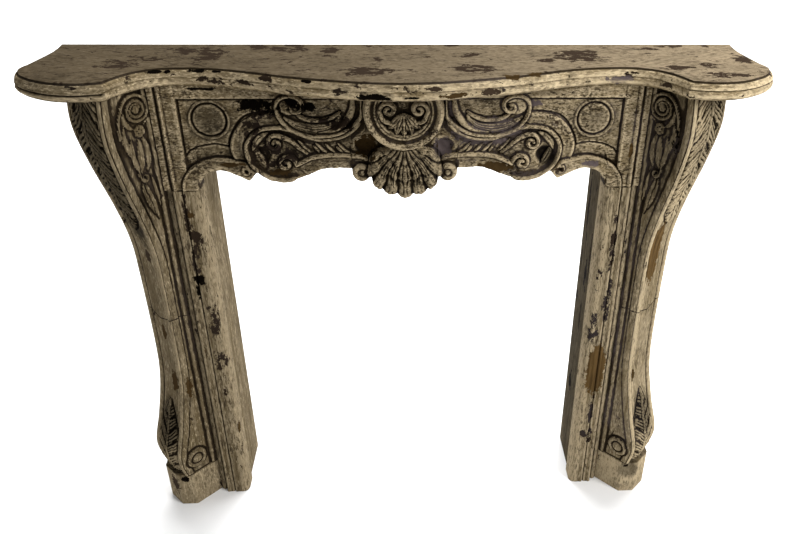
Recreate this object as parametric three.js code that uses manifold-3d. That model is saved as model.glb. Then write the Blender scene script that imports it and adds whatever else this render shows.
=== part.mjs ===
// A carved and painted wooden fireplace mantel: a serpentine shelf with a moulded edge, a carved
// frieze with scrolls, discs and a shell, and two legs. Each leg has a moulded jamb, a canted
// scroll console in two lengths, a plinth block and plain boards that return to the wall.
// Millimetres, +Z up, the front faces -Y. The pieces are laid out from the wall, where y is 0,
// and the whole is then moved so that the origin is on the floor under the middle.
import * as THREE from 'three';
import { mergeVertices } from 'three/addons/utils/BufferGeometryUtils.js';
import Module from 'manifold-3d';

const wasm = await Module();
wasm.setup();

// Driving dimensions of the whole
const HEIGHT = 1051;
const SHELF_THICKNESS = 33;
const SHELF_REACH = 246;
const NOSE_REACH = 10;
const OPENING_HALF = 396;
const JAMB_OUTER = 463;
const JAMB_HEIGHT = 810;
const FACE = -150;
const BOARD_BACK = -118;
const GAP = 0.3;
const UNDER_SHELF = HEIGHT - SHELF_THICKNESS - GAP;

// Boards that return to the wall
const REVEAL_FACE = 401;
const RETURN_THICKNESS = 20;
const SIDE_OUTER = 538;
const SIDE_FRONT = -77;

// Legs: consoles and plinths stand across the corner, on a line at 45 degrees
const CANT_LINE = 386;
const PLINTH_HEIGHT = 95;
const PLINTH_WIDTH = 98;
const PLINTH_FRONT = 526;
const PLINTH_CLIP = 25;
const CANT_BACK = 417;
const CANT_ROOT = 435;
const ROOT_HALF_WIDTH = 53;
const SPLICE_HEIGHT = 520;
const SPLICE_RISE = 14;
const CONSOLE_STEPS = 17;

// Carving
const ROLL_SIDES = 6;
const RAIL_FOOT = 990;
const STILE_INNER = 419;
const RAISED = 6;
const DISC_PLACE = [365, 953];
const DISC_RADIUS = 35;
const KNOB_PLACE = [83, 845];
const KNOB_RADIUS = 19;
const OVAL_HEIGHT = 976;
const OVAL_RADIUS = 73;
const SHELL_TOP = 912;
const SHELL_STANDS = 30;
const SHELL_ROOT = 14;
const SHELL_RIBS = 9;

const PAINT = { color: 0xb3a483, roughness: 0.72, metalness: 0 };
const WORN_TOP = { color: 0x9a8b76, roughness: 0.68, metalness: 0 };

const point = (x, y) => new THREE.Vector2(x, y);

// A copy of a geometry that holds places only, with shared corners merged and faces outward.
// A finished solid's geometry is like that already.
function bare(geometry) {
  const copy = geometry.clone();
  if (!copy.hasAttribute('normal')) {
    return copy;
  }
  copy.deleteAttribute('normal');
  copy.deleteAttribute('uv');
  const merged = mergeVertices(copy, 1e-3);
  const place = merged.attributes.position;
  const corner = [0, 1, 2].map(() => new THREE.Vector3());
  let volume = 0;
  const faces = [];
  for (let i = 0; i < merged.index.count; i += 3) {
    const face = [0, 1, 2].map((k) => merged.index.getX(i + k));
    if (new Set(face).size === 3) {
      face.forEach((vertex, k) => corner[k].fromBufferAttribute(place, vertex));
      volume += corner[0].dot(corner[1].clone().cross(corner[2]));
      faces.push(face);
    }
  }
  const order = volume < 0 ? (face) => [face[0], face[2], face[1]] : (face) => face;
  merged.setIndex(faces.flatMap(order));
  return merged;
}

// A closed solid from a geometry, for joining and cutting.
function solid(geometry) {
  const clean = bare(geometry);
  return new wasm.Manifold(new wasm.Mesh({
    numProp: 3,
    vertProperties: Float32Array.from(clean.attributes.position.array),
    triVerts: Uint32Array.from(clean.index.array),
  }));
}

// The geometry of a finished solid.
function geometryOf(body) {
  const mesh = body.getMesh();
  const geometry = new THREE.BufferGeometry();
  geometry.setAttribute('position', new THREE.BufferAttribute(mesh.vertProperties, 3));
  geometry.setIndex(new THREE.BufferAttribute(mesh.triVerts, 1));
  return geometry;
}

function join(geometries) {
  return geometries.map(solid).reduce((whole, next) => whole.add(next));
}

// The same geometry on the other side of the middle, with its faces turned back outward.
function mirrored(geometry) {
  const copy = bare(geometry);
  copy.scale(-1, 1, 1);
  const faces = Array.from(copy.index.array);
  copy.setIndex(faces.map((vertex, i) => faces[i - (i % 3) + [0, 2, 1][i % 3]]));
  return copy;
}

// A box between two corners.
function block(low, high) {
  const size = high.map((value, i) => value - low[i]);
  const middle = high.map((value, i) => (value + low[i]) / 2);
  return new THREE.BoxGeometry(...size).translate(...middle);
}

// A smooth function through a few given places, for sizes that change with height.
function smoothThrough(pairs) {
  const curve = new THREE.SplineCurve(pairs.map(([at, value]) => point(at, value)));
  return (at) => {
    let span = 0;
    while (span < pairs.length - 2 && at > pairs[span + 1][0]) {
      span += 1;
    }
    const part = (at - pairs[span][0]) / (pairs[span + 1][0] - pairs[span][0]);
    return curve.getPoint((span + THREE.MathUtils.clamp(part, 0, 1)) / (pairs.length - 1)).y;
  };
}

// Points of a spiral that winds from a starting point in to a small circle round its eye.
function spiral(start, eye, turns, endRadius, count) {
  const arm = start.clone().sub(eye);
  const radius = arm.length();
  return Array.from({ length: count }, (unused, i) => {
    const part = (i + 1) / count;
    const length = radius * (endRadius / radius) ** part;
    const angle = arm.angle() + turns * 2 * Math.PI * part;
    return point(eye.x + length * Math.cos(angle), eye.y + length * Math.sin(angle));
  });
}

// A smooth lead through a few points, with a spiral at its end where one is asked for.
function scroll(places, count, end) {
  const lead = new THREE.SplineCurve(places.map(([x, z]) => point(x, z))).getPoints(count);
  if (!end) {
    return lead;
  }
  const last = lead[lead.length - 1];
  return [...lead, ...spiral(last, point(...end.eye), end.turns, end.radius, end.count)];
}

// A raised roll along a path on an upright face that looks along -Y. Width and rise are half
// sizes of its oval section and may change along the path.
function roll(path, width, rise, face) {
  const curve = new THREE.SplineCurve(path);
  const geometry = new THREE.CylinderGeometry(1, 1, 1, ROLL_SIDES, path.length - 1);
  const place = geometry.attributes.position;
  for (let i = 0; i < place.count; i += 1) {
    const along = place.getY(i) + 0.5;
    const middle = curve.getPoint(along);
    const heading = curve.getTangent(along);
    const side = place.getZ(i) * width(along);
    const out = place.getX(i) * rise(along);
    place.setXYZ(i, middle.x - heading.y * side, face - out, middle.y + heading.x * side);
  }
  return geometry;
}

// A width that swells from one end size to a full size and falls to the other end size.
function swell(first, full, last) {
  return (along) => {
    const edge = along < 0.5 ? first : last;
    return edge + (full - edge) * Math.sin(Math.PI * along) ** 0.5;
  };
}

// A long rounded lobe on an upright face, from its root to its tip, broadest near the tip.
function lobe(root, tip, halfWidth, rise, face) {
  const geometry = new THREE.SphereGeometry(1, 6, 5);
  const place = geometry.attributes.position;
  const run = point(tip[0] - root[0], tip[1] - root[1]);
  const heading = run.clone().normalize();
  for (let i = 0; i < place.count; i += 1) {
    const along = (place.getY(i) + 1) / 2;
    const blunt = Math.hypot(place.getX(i), place.getZ(i), 1e-6) ** -0.4;
    const side = place.getZ(i) * blunt * halfWidth * (0.25 + 0.9 * along);
    const out = place.getX(i) * rise;
    const x = root[0] + run.x * along - heading.y * side;
    const z = root[1] + run.y * along + heading.x * side;
    place.setXYZ(i, x, face - out, z);
  }
  return geometry;
}

// A round moulding on an upright face: its profile runs from the middle outwards, as pairs of
// radius and height above the face, and its back is sunk behind the face.
function boss(middle, profile, sides, face, sunk) {
  const outline = profile.map(([radius, out]) => point(radius, -out));
  outline.push(point(profile[profile.length - 1][0], sunk), point(0, sunk));
  return new THREE.LatheGeometry(outline, sides).translate(middle[0], face, middle[1]);
}

// Shelf: its plan is two curves on each half, the end with its horn and the serpentine front,
// and they meet in a mitre.
const SHELF_END = [[660, 0], [657, -52], [667, -125], [674, -161], [660, -194], [630, -221],
  [592, -240], [548, -246], [508, -238]];
const SHELF_FRONT = [[508, -238], [494, -208], [470, -177], [432, -158], [388, -154], [330, -161],
  [265, -182], [195, -209], [120, -229], [60, -241], [0, -SHELF_REACH]];
// The edge moulding, as pairs of depth below the top and reach past the top arris.
const SHELF_EDGE = [[0, 0], [3, 0], [5, 4], [14, 8], [17, 6], [21, NOSE_REACH], [27, 9], [33, 3]];

function shelfPlan() {
  const through = (places, count) =>
    new THREE.SplineCurve(places.map(([x, y]) => point(x, y))).getPoints(count);
  const half = [...through(SHELF_END, 16), ...through(SHELF_FRONT, 17).slice(1)];
  const other = half.slice(0, -1).reverse().map((place) => point(-place.x, place.y));
  return [...half, ...other];
}

// How each plan point moves when the edge reaches out by one: square to both its neighbours,
// and only sideways at the two corners on the wall.
function reachOut(plan) {
  return plan.map((place, i) => {
    if (i === 0 || i === plan.length - 1) {
      return point(Math.sign(place.x), 0);
    }
    const before = place.clone().sub(plan[i - 1]).normalize();
    const after = plan[i + 1].clone().sub(place).normalize();
    const out = point(before.y + after.y, -before.x - after.x).normalize();
    const spread = out.dot(point(after.y, -after.x));
    return out.multiplyScalar(-1 / spread);
  });
}

function shelf() {
  const plan = shelfPlan();
  const reach = reachOut(plan);
  const key = (x, y) => `${x.toFixed(2)} ${y.toFixed(2)}`;
  const moves = new Map(plan.map((place, i) => [key(place.x, place.y), reach[i]]));
  const steps = SHELF_EDGE.length - 1;
  const geometry = new THREE.ExtrudeGeometry(new THREE.Shape(plan), {
    depth: steps, steps, bevelEnabled: false,
  });
  const place = geometry.attributes.position;
  for (let i = 0; i < place.count; i += 1) {
    const move = moves.get(key(place.getX(i), place.getY(i)));
    const [below, out] = SHELF_EDGE[Math.round(place.getZ(i))];
    const x = place.getX(i) + move.x * out;
    const y = place.getY(i) + move.y * out;
    place.setXYZ(i, x, y, HEIGHT - below);
  }
  return bare(geometry);
}

// Frieze: the lower edge of its right half, from beside the shell to the arch over the jamb.
const FRIEZE_EDGE = [[62, 838], [100, 850], [132, 852], [160, 849], [200, 832], [236, 825],
  [262, 832], [284, 842], [300, 828], [318, 837], [346, 849], [374, 845], [391, 829]];

function friezeBoard() {
  const edge = [...FRIEZE_EDGE, [OPENING_HALF, JAMB_HEIGHT + GAP], [JAMB_OUTER, JAMB_HEIGHT + GAP]];
  const right = [...edge, [JAMB_OUTER, UNDER_SHELF]].map(([x, z]) => point(x, z));
  const left = right.map((place) => point(-place.x, place.y)).reverse();
  const board = new THREE.ExtrudeGeometry(new THREE.Shape([...right, ...left]), {
    depth: BOARD_BACK - FACE, bevelEnabled: false,
  });
  return board.rotateX(Math.PI / 2).translate(0, BOARD_BACK, 0);
}

// The carving on the right half of the frieze.
function friezeCarving() {
  const upper = scroll([[82, 988], [86, 948], [116, 923], [160, 916], [206, 930], [234, 962],
    [236, 984]], 10, { eye: [213, 981], turns: 1.3, radius: 4, count: 8 });
  const rim = scroll([[88, 938], [116, 914], [156, 907], [200, 927], [248, 940], [292, 917],
    [303, 882], [287, 850]], 15);
  const lower = scroll([[64, 852], [70, 871], [100, 881], [140, 884], [184, 876], [212, 860]], 9,
    { eye: [230, 864], turns: 1.3, radius: 4, count: 8 });
  const bud = scroll([[192, 892], [206, 908], [226, 918]], 4,
    { eye: [243, 904], turns: -1, radius: 4, count: 7 });
  const arch = scroll([[300, 838], [320, 855], [350, 868], [386, 859], [409, 834],
    [415, JAMB_HEIGHT + GAP]], 10);
  const archWidth = (along) => 3 + 15 * along ** 0.4;
  const bands = [
    roll(upper, swell(3, 8, 4), swell(8, 16, 14), FACE),
    roll(rim, swell(3, 6, 3), swell(6, 14, 6), FACE),
    roll(lower, swell(3, 7, 4), swell(8, 14, 14), FACE),
    roll(bud, swell(2, 5, 4), swell(5, 11, 11), FACE),
    roll(arch, archWidth, () => 13, FACE),
  ];
  const leaves = [
    lobe([206, 964], [124, 940], 16, 12, FACE),
    lobe([108, 990], [122, 936], 9, 11, FACE),
    lobe([222, 908], [112, 896], 12, 9, FACE),
    lobe([262, 858], [288, 902], 12, 8, FACE),
  ];
  const disc = boss(DISC_PLACE, [[0, 6], [25, 7], [30, 12], [DISC_RADIUS, 7]], 16, FACE, 10);
  const knob = boss(KNOB_PLACE, [[0, 16], [9, 16], [12, 18], [KNOB_RADIUS, 9]], 12, FACE, 10);
  return [...bands, ...leaves, disc, knob];
}

// How far the rim of the shell is from its root, by the angle from straight down in degrees.
const SHELL_RIM = [[0, 112], [16, 110], [32, 106], [48, 95], [64, 74], [72, 58]];

// A scallop shell: a fan of rounded ribs that spread from a root under the oval frame.
function shell() {
  const rimAt = smoothThrough(SHELL_RIM);
  const steps = SHELL_RIBS * 4;
  const spread = SHELL_RIM[SHELL_RIM.length - 1][0];
  const geometry = new THREE.BoxGeometry(1, 1, 1, steps, 1, 5);
  const place = geometry.attributes.position;
  for (let i = 0; i < place.count; i += 1) {
    const turn = place.getX(i) * 2 * spread;
    const way = place.getZ(i) + 0.5;
    const rib = Math.abs(Math.sin(Math.PI * SHELL_RIBS * (place.getX(i) + 0.5)));
    const away = SHELL_ROOT + (rimAt(Math.abs(turn)) + 5 * rib - SHELL_ROOT) * way;
    const angle = THREE.MathUtils.degToRad(turn);
    const fall = Math.sqrt(1 - 0.8 * way ** 6);
    const out = SHELL_STANDS * (0.75 + 0.25 * Math.cos(angle)) * fall + 9 * rib * way * fall;
    const y = place.getY(i) < 0 ? FACE - out : FACE + RAISED;
    place.setXYZ(i, away * Math.sin(angle), y, SHELL_TOP - away * Math.cos(angle));
  }
  return geometry;
}

// The middle of the frieze: a round dished frame with two small volutes and a leaf in it, and the
// shell below.
function friezeMiddle() {
  const rim = OVAL_RADIUS;
  const dish = boss([0, OVAL_HEIGHT], [[0, 26], [rim - 27, 28], [rim - 22, 38], [rim - 16, 36],
    [rim - 12, 44], [rim - 3, 43], [rim + 2, 28]], 20, FACE, 10);
  const volute = scroll([[8, 948], [34, 958], [43, 980]], 4,
    { eye: [26, 982], turns: 1, radius: 4, count: 7 });
  const volutes = roll(volute, swell(3, 5, 4), swell(8, 12, 12), FACE - 26);
  const leaf = [-1, 0, 1].map((way) =>
    lobe([way * 6, 966], [way * 30, 930 + 8 * Math.abs(way)], 12, 10, FACE - 26));
  return [dish, volutes, mirrored(volutes), ...leaf, shell()];
}

function frieze() {
  const rail = block([-JAMB_OUTER, FACE - RAISED, RAIL_FOOT], [JAMB_OUTER, FACE + RAISED, UNDER_SHELF]);
  const stile = block([STILE_INNER, FACE - RAISED, JAMB_HEIGHT + GAP],
    [JAMB_OUTER, FACE + RAISED, UNDER_SHELF]);
  const right = [stile, ...friezeCarving()];
  const whole = join([friezeBoard(), rail, ...right, ...right.map(mirrored), ...friezeMiddle()]);
  const far = 2 * HEIGHT;
  const shelfSide = block([-far, -far, UNDER_SHELF], [far, far, far]);
  const jambSide = block([OPENING_HALF - 60, -far, 0], [far, far, JAMB_HEIGHT + GAP]);
  const behind = block([-far, BOARD_BACK, 0], [far, far, far]);
  const cuts = join([shelfSide, jambSide, mirrored(jambSide), behind]);
  return geometryOf(whole.subtract(cuts));
}

// Jamb: its section in plan, from the reveal round the moulding to the outer edge.
const JAMB_SECTION = [[OPENING_HALF, BOARD_BACK], [OPENING_HALF, -148], [399, -157], [405, -162],
  [412, -163], [414, -160], [416, -163], [422, -165], [430, -165], [437, -162], [441, -157],
  [443, -152], [447, -156], [JAMB_OUTER, -150], [JAMB_OUTER, BOARD_BACK]];

function jamb() {
  const section = new THREE.Shape(JAMB_SECTION.map(([x, y]) => point(x, y)));
  return bare(new THREE.ExtrudeGeometry(section, { depth: JAMB_HEIGHT, bevelEnabled: false }));
}

function reveal() {
  return block([REVEAL_FACE, BOARD_BACK + GAP, 0], [REVEAL_FACE + RETURN_THICKNESS, 0, UNDER_SHELF]);
}

function sideBoard() {
  return block([SIDE_OUTER - RETURN_THICKNESS, SIDE_FRONT, 0], [SIDE_OUTER, 0, UNDER_SHELF]);
}

// A place given along the canted line of a right-hand leg: out from the corner, across the line
// towards the outer side, and up.
function canted(out, across, up) {
  const sum = CANT_LINE + Math.SQRT2 * across;
  const difference = Math.SQRT2 * out;
  return [(sum + difference) / 2, (sum - difference) / 2, up];
}

// What the jamb and the side board take away from a piece set across the corner.
function cornerCuts() {
  const far = 2 * HEIGHT;
  const jambSide = block([-far, -far, -far], [JAMB_OUTER + GAP, far, far]);
  const sideSide = block([-far, SIDE_FRONT - GAP, -far], [far, far, far]);
  return join([jambSide, sideSide]);
}

// Console: how far its front stands out from the corner, and its width across, by height.
const CONSOLE_FRONT = [[95, 509], [155, 519], [235, 499], [330, 480], [420, 474], [600, 474],
  [680, 477], [760, 492], [860, 518], [940, 532], [1018, 527]];
const CONSOLE_WIDTH = [[95, 100], [155, 107], [300, 98], [500, 98], [700, 104], [850, 122],
  [940, 134], [1018, 130]];
// Lines across the front from the inner to the outer side: place and height of rims and groove.
const CONSOLE_RELIEF = [[-1, 0], [-0.88, 4], [-0.72, -3], [0, 2], [0.72, -3], [0.88, 4], [1, 0]];
// Lines along the sides from the back to the front: place and depth of the sunk panel.
const CONSOLE_SIDE = [[0, 0], [0.25, 4], [0.78, 4], [0.86, 0], [1, 0]];

function consoleBody() {
  const frontAt = smoothThrough(CONSOLE_FRONT);
  const widthAt = smoothThrough(CONSOLE_WIDTH);
  const foot = PLINTH_HEIGHT + GAP;
  const across = CONSOLE_RELIEF.length - 1;
  const along = CONSOLE_SIDE.length - 1;
  const geometry = new THREE.BoxGeometry(1, 1, 1, across, along, CONSOLE_STEPS);
  const place = geometry.attributes.position;
  for (let i = 0; i < place.count; i += 1) {
    const [side, relief] = CONSOLE_RELIEF[Math.round((place.getX(i) + 0.5) * across)];
    const [way, sunk] = CONSOLE_SIDE[Math.round((place.getY(i) + 0.5) * along)];
    const up = foot + (place.getZ(i) + 0.5) * (UNDER_SHELF - foot);
    const front = frontAt(up);
    const half = ROOT_HALF_WIDTH + way * (widthAt(up) / 2 - ROOT_HALF_WIDTH);
    const edge = Math.abs(side) === 1 ? half - sunk : half * Math.abs(side);
    const out = way === 1 ? front + relief : CANT_ROOT + way * (front - CANT_ROOT);
    const back = way === 0 ? CANT_BACK - GAP : out;
    place.setXYZ(i, ...canted(back, Math.sign(side) * edge, up));
  }
  return geometry;
}

// A carving laid out on an upright face is turned onto a side or the front of a console.
// Across runs to the right on that face, and its height stays.
function ontoSide(geometry, way, across) {
  const place = geometry.attributes.position;
  for (let i = 0; i < place.count; i += 1) {
    place.setXYZ(i, ...canted(place.getX(i), way * (across - place.getY(i)), place.getZ(i)));
  }
  return geometry;
}

function ontoFront(geometry) {
  const frontAt = smoothThrough(CONSOLE_FRONT);
  const place = geometry.attributes.position;
  for (let i = 0; i < place.count; i += 1) {
    const up = place.getZ(i);
    place.setXYZ(i, ...canted(frontAt(up) - place.getY(i), place.getX(i), up));
  }
  return geometry;
}

// The volutes at the head and foot of a console's inner side, and plain round knobs in their
// places on its outer side, laid out as distance from the corner and height.
function consoleVolutes() {
  const head = scroll([[520, 930], [514, 985], [482, 1002]], 4,
    { eye: [482, 972], turns: 1.5, radius: 4, count: 12 });
  const foot = scroll([[470, 230], [490, 196], [506, 160]], 3,
    { eye: [489, 140], turns: -1.4, radius: 4, count: 11 });
  const side = (heightAt) => smoothThrough(CONSOLE_WIDTH)(heightAt) / 2 - 6;
  return [
    ontoSide(roll(head, swell(3, 6, 4), () => 6, 0), -1, side(972)),
    ontoSide(roll(foot, swell(3, 5, 4), () => 6, 0), -1, side(140)),
    ontoSide(boss([482, 972], [[0, 6], [24, 4]], 10, 0, 4), 1, side(972)),
    ontoSide(boss([489, 140], [[0, 6], [15, 4]], 10, 0, 4), 1, side(140)),
  ];
}

// The long leaf that hangs down the front of a console, and the short leaf that rises at its foot.
function consoleLeaves() {
  const hanging = [0, 1].flatMap((row) => {
    const top = 1004 - 120 * row;
    const reach = 40 - 12 * row;
    return [-1, 1].map((way) => lobe([way * 6, top], [way * reach, top - 140], 16, 9, 0));
  });
  const ribs = [lobe([0, 1004], [0, 690], 11, 9, 0), lobe([0, 116], [0, 300], 22, 9, 0)];
  return [...hanging, ...ribs].map(ontoFront);
}

// The two lengths of a console meet in a shallow V.
function consoles() {
  const carved = [consoleBody(), ...consoleVolutes(), ...consoleLeaves()];
  const far = 2 * HEIGHT;
  const foot = block([-far, -far, -far], [far, far, PLINTH_HEIGHT + GAP]);
  const head = block([-far, -far, UNDER_SHELF], [far, far, far]);
  const whole = join(carved).subtract(cornerCuts()).subtract(join([foot, head]));
  const below = (lift) => {
    const level = SPLICE_HEIGHT + lift;
    const wedge = new THREE.Shape([point(-far, 0), point(far, 0), point(far, level),
      point(PLINTH_WIDTH / 2, level), point(0, level - SPLICE_RISE),
      point(-PLINTH_WIDTH / 2, level), point(-far, level)]);
    const prism = new THREE.ExtrudeGeometry(wedge, { depth: far, bevelEnabled: false });
    const place = prism.attributes.position;
    for (let i = 0; i < place.count; i += 1) {
      place.setXYZ(i, ...canted(place.getZ(i), place.getX(i), place.getY(i)));
    }
    return solid(prism);
  };
  return {
    upper: geometryOf(whole.subtract(below(GAP / 2))),
    lower: geometryOf(whole.intersect(below(-GAP / 2))),
  };
}

function plinth() {
  const half = PLINTH_WIDTH / 2;
  const clip = PLINTH_CLIP;
  const plan = [[CANT_BACK, -half], [PLINTH_FRONT - clip, -half], [PLINTH_FRONT, clip - half],
    [PLINTH_FRONT, half - clip], [PLINTH_FRONT - clip, half], [CANT_BACK, half]];
  const outline = plan.map(([out, across]) => point(...canted(out, across, 0).slice(0, 2)));
  const body = new THREE.ExtrudeGeometry(new THREE.Shape(outline), {
    depth: PLINTH_HEIGHT, bevelEnabled: false,
  });
  return geometryOf(solid(body).subtract(cornerCuts()));
}

function mesh(name, geometry, look) {
  const flat = geometry.toNonIndexed();
  flat.computeVertexNormals();
  const made = new THREE.Mesh(flat, new THREE.MeshStandardMaterial(look));
  made.name = name;
  return made;
}

const mantel = new THREE.Group();
mantel.position.y = (SHELF_REACH + NOSE_REACH) / 2;
mantel.add(mesh('shelf', shelf(), WORN_TOP), mesh('frieze', frieze(), PAINT));

const { upper, lower } = consoles();
const rightLeg = {
  jamb: jamb(), reveal: reveal(), side_board: sideBoard(),
  console_upper: upper, console_lower: lower, plinth: plinth(),
};
for (const [name, geometry] of Object.entries(rightLeg)) {
  mantel.add(mesh(`${name}_right`, geometry, PAINT));
  mantel.add(mesh(`${name}_left`, mirrored(geometry), PAINT));
}

const part = new THREE.Group();
part.add(mantel);
export default part;
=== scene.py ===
"""A carved and painted wooden fireplace mantel: shelf, frieze and two canted legs.

The CAD frame gives every piece its place and size. Each operator makes one piece, or a group of
like pieces, as a fine mesh that keeps the solid's form, carries the carving and wears old paint.
Shapes are laid out in millimetres from the wall and the floor, and are moved to metres in the
frame when a mesh is made.
"""

import math

import bmesh
import bpy
import numpy as np
from mathutils import Matrix, Vector


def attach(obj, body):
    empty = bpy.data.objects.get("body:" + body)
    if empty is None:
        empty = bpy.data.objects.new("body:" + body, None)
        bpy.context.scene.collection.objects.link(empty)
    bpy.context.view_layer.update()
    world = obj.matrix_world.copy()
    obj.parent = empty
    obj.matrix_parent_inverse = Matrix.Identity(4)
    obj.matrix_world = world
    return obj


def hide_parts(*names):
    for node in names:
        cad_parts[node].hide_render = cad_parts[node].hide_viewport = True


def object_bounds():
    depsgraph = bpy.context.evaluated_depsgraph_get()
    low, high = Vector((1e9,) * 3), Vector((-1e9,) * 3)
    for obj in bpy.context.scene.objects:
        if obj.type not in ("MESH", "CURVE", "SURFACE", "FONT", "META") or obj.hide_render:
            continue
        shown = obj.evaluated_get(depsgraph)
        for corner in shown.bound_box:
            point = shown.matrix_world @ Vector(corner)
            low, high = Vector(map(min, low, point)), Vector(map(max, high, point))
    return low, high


bl_info = {
    "name": "Carved mantel",
    "version": (1, 0, 0),
    "blender": (4, 5, 0),
    "location": "View3D > Sidebar > Mantel",
    "description": "Builds the carved and painted pieces of a wooden fireplace mantel",
    "category": "Add Mesh",
}

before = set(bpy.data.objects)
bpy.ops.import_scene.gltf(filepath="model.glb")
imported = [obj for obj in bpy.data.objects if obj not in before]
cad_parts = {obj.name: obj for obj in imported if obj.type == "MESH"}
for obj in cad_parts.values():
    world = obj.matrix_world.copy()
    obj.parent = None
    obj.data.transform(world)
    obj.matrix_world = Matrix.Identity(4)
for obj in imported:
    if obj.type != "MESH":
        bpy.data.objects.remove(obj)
CAD_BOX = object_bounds()

MM = 0.001
JOIN = 2e-6
WALL = CAD_BOX[1].y / MM
SIDES = {"left": -1, "right": 1}

# Heights and depths shared by the pieces
HEIGHT = 1051
SHELF_THICKNESS = 33
GAP = 0.3
UNDER_SHELF = HEIGHT - SHELF_THICKNESS - GAP
JAMB_TOP = 810
FACE = -150
BOARD_BACK = -118
OPENING_HALF = 396
JAMB_OUTER = 463


def ramp(value, low, high):
    """A smooth step from 0 at low to 1 at high."""
    part = np.clip((value - low) / (high - low), 0, 1)
    return part * part * (3 - 2 * part)


def bell(value):
    """A rounded peak of 1 at 0 that is gone by about 2."""
    return np.exp(-value * value)


def dome(value):
    """The height of a half circle over its width from -1 to 1."""
    return np.sqrt(np.clip(1 - value * value, 0, 1))


def smooth_path(places, per_span=8):
    """A smooth line through a few places, as closely spaced points."""
    points = np.asarray(places, float)
    points = np.vstack([points[0], points, points[-1]])
    part = np.linspace(0, 1, per_span, endpoint=False)[:, None]
    spans = [
        0.5 * (2 * b + (c - a) * part + (2 * a - 5 * b + 4 * c - d) * part**2
               + (3 * b - a - 3 * c + d) * part**3)
        for a, b, c, d in zip(points[:-3], points[1:-2], points[2:-1], points[3:])
    ]
    return np.vstack([*spans, points[-1]])


def smooth_through(pairs, at):
    """A size that changes smoothly with height, read at some heights."""
    line = smooth_path(pairs, 12)
    return np.interp(at, line[:, 0], line[:, 1])


def scroll(places, eye, turns, end_radius):
    """A smooth lead that winds in to a small circle round an eye."""
    lead = smooth_path(places, 6)
    arm = lead[-1] - np.asarray(eye, float)
    radius = np.hypot(*arm)
    part = np.linspace(0, 1, int(22 * abs(turns)) + 1)[1:]
    away = radius * (end_radius / radius) ** part
    angle = math.atan2(arm[1], arm[0]) + turns * 2 * math.pi * part
    wound = np.stack([eye[0] + away * np.cos(angle), eye[1] + away * np.sin(angle)], -1)
    return np.vstack([lead, wound])


def swell(first, full, last):
    """A width along a path that swells from one end size to a full size and falls to another."""
    def width(along):
        edge = np.where(along < 0.5, first, last)
        return edge + (full - edge) * np.sin(math.pi * np.clip(along, 0, 1)) ** 0.5
    return width


def soften(field, reach):
    """A field averaged over a square of cells, twice over, with its edges held."""
    for axis in (0, 1, 0, 1):
        pad = [(0, 0), (0, 0)]
        pad[axis] = (reach + 1, reach)
        total = np.cumsum(np.pad(field, pad, mode="edge"), axis=axis)
        size = 2 * reach + 1
        count = field.shape[axis]
        ends = np.take(total, np.arange(size, size + count), axis=axis)
        starts = np.take(total, np.arange(count), axis=axis)
        field = (ends - starts) / size
    return field


def unevenness(shape, reach, seed):
    """A smooth random field with a spread of about 1."""
    rough = np.random.default_rng(seed).standard_normal(shape)
    soft = soften(rough, reach)
    return soft / soft.std()


def hollows(height, reach):
    """How sunk each place is among its neighbours: above 0 in a groove, below 0 on a ridge."""
    near = (soften(height, reach) - height) / 1.6
    far = (soften(height, 4 * reach) - height) / 6.0
    return np.clip(0.7 * near + 0.3 * far, -1, 1)


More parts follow.
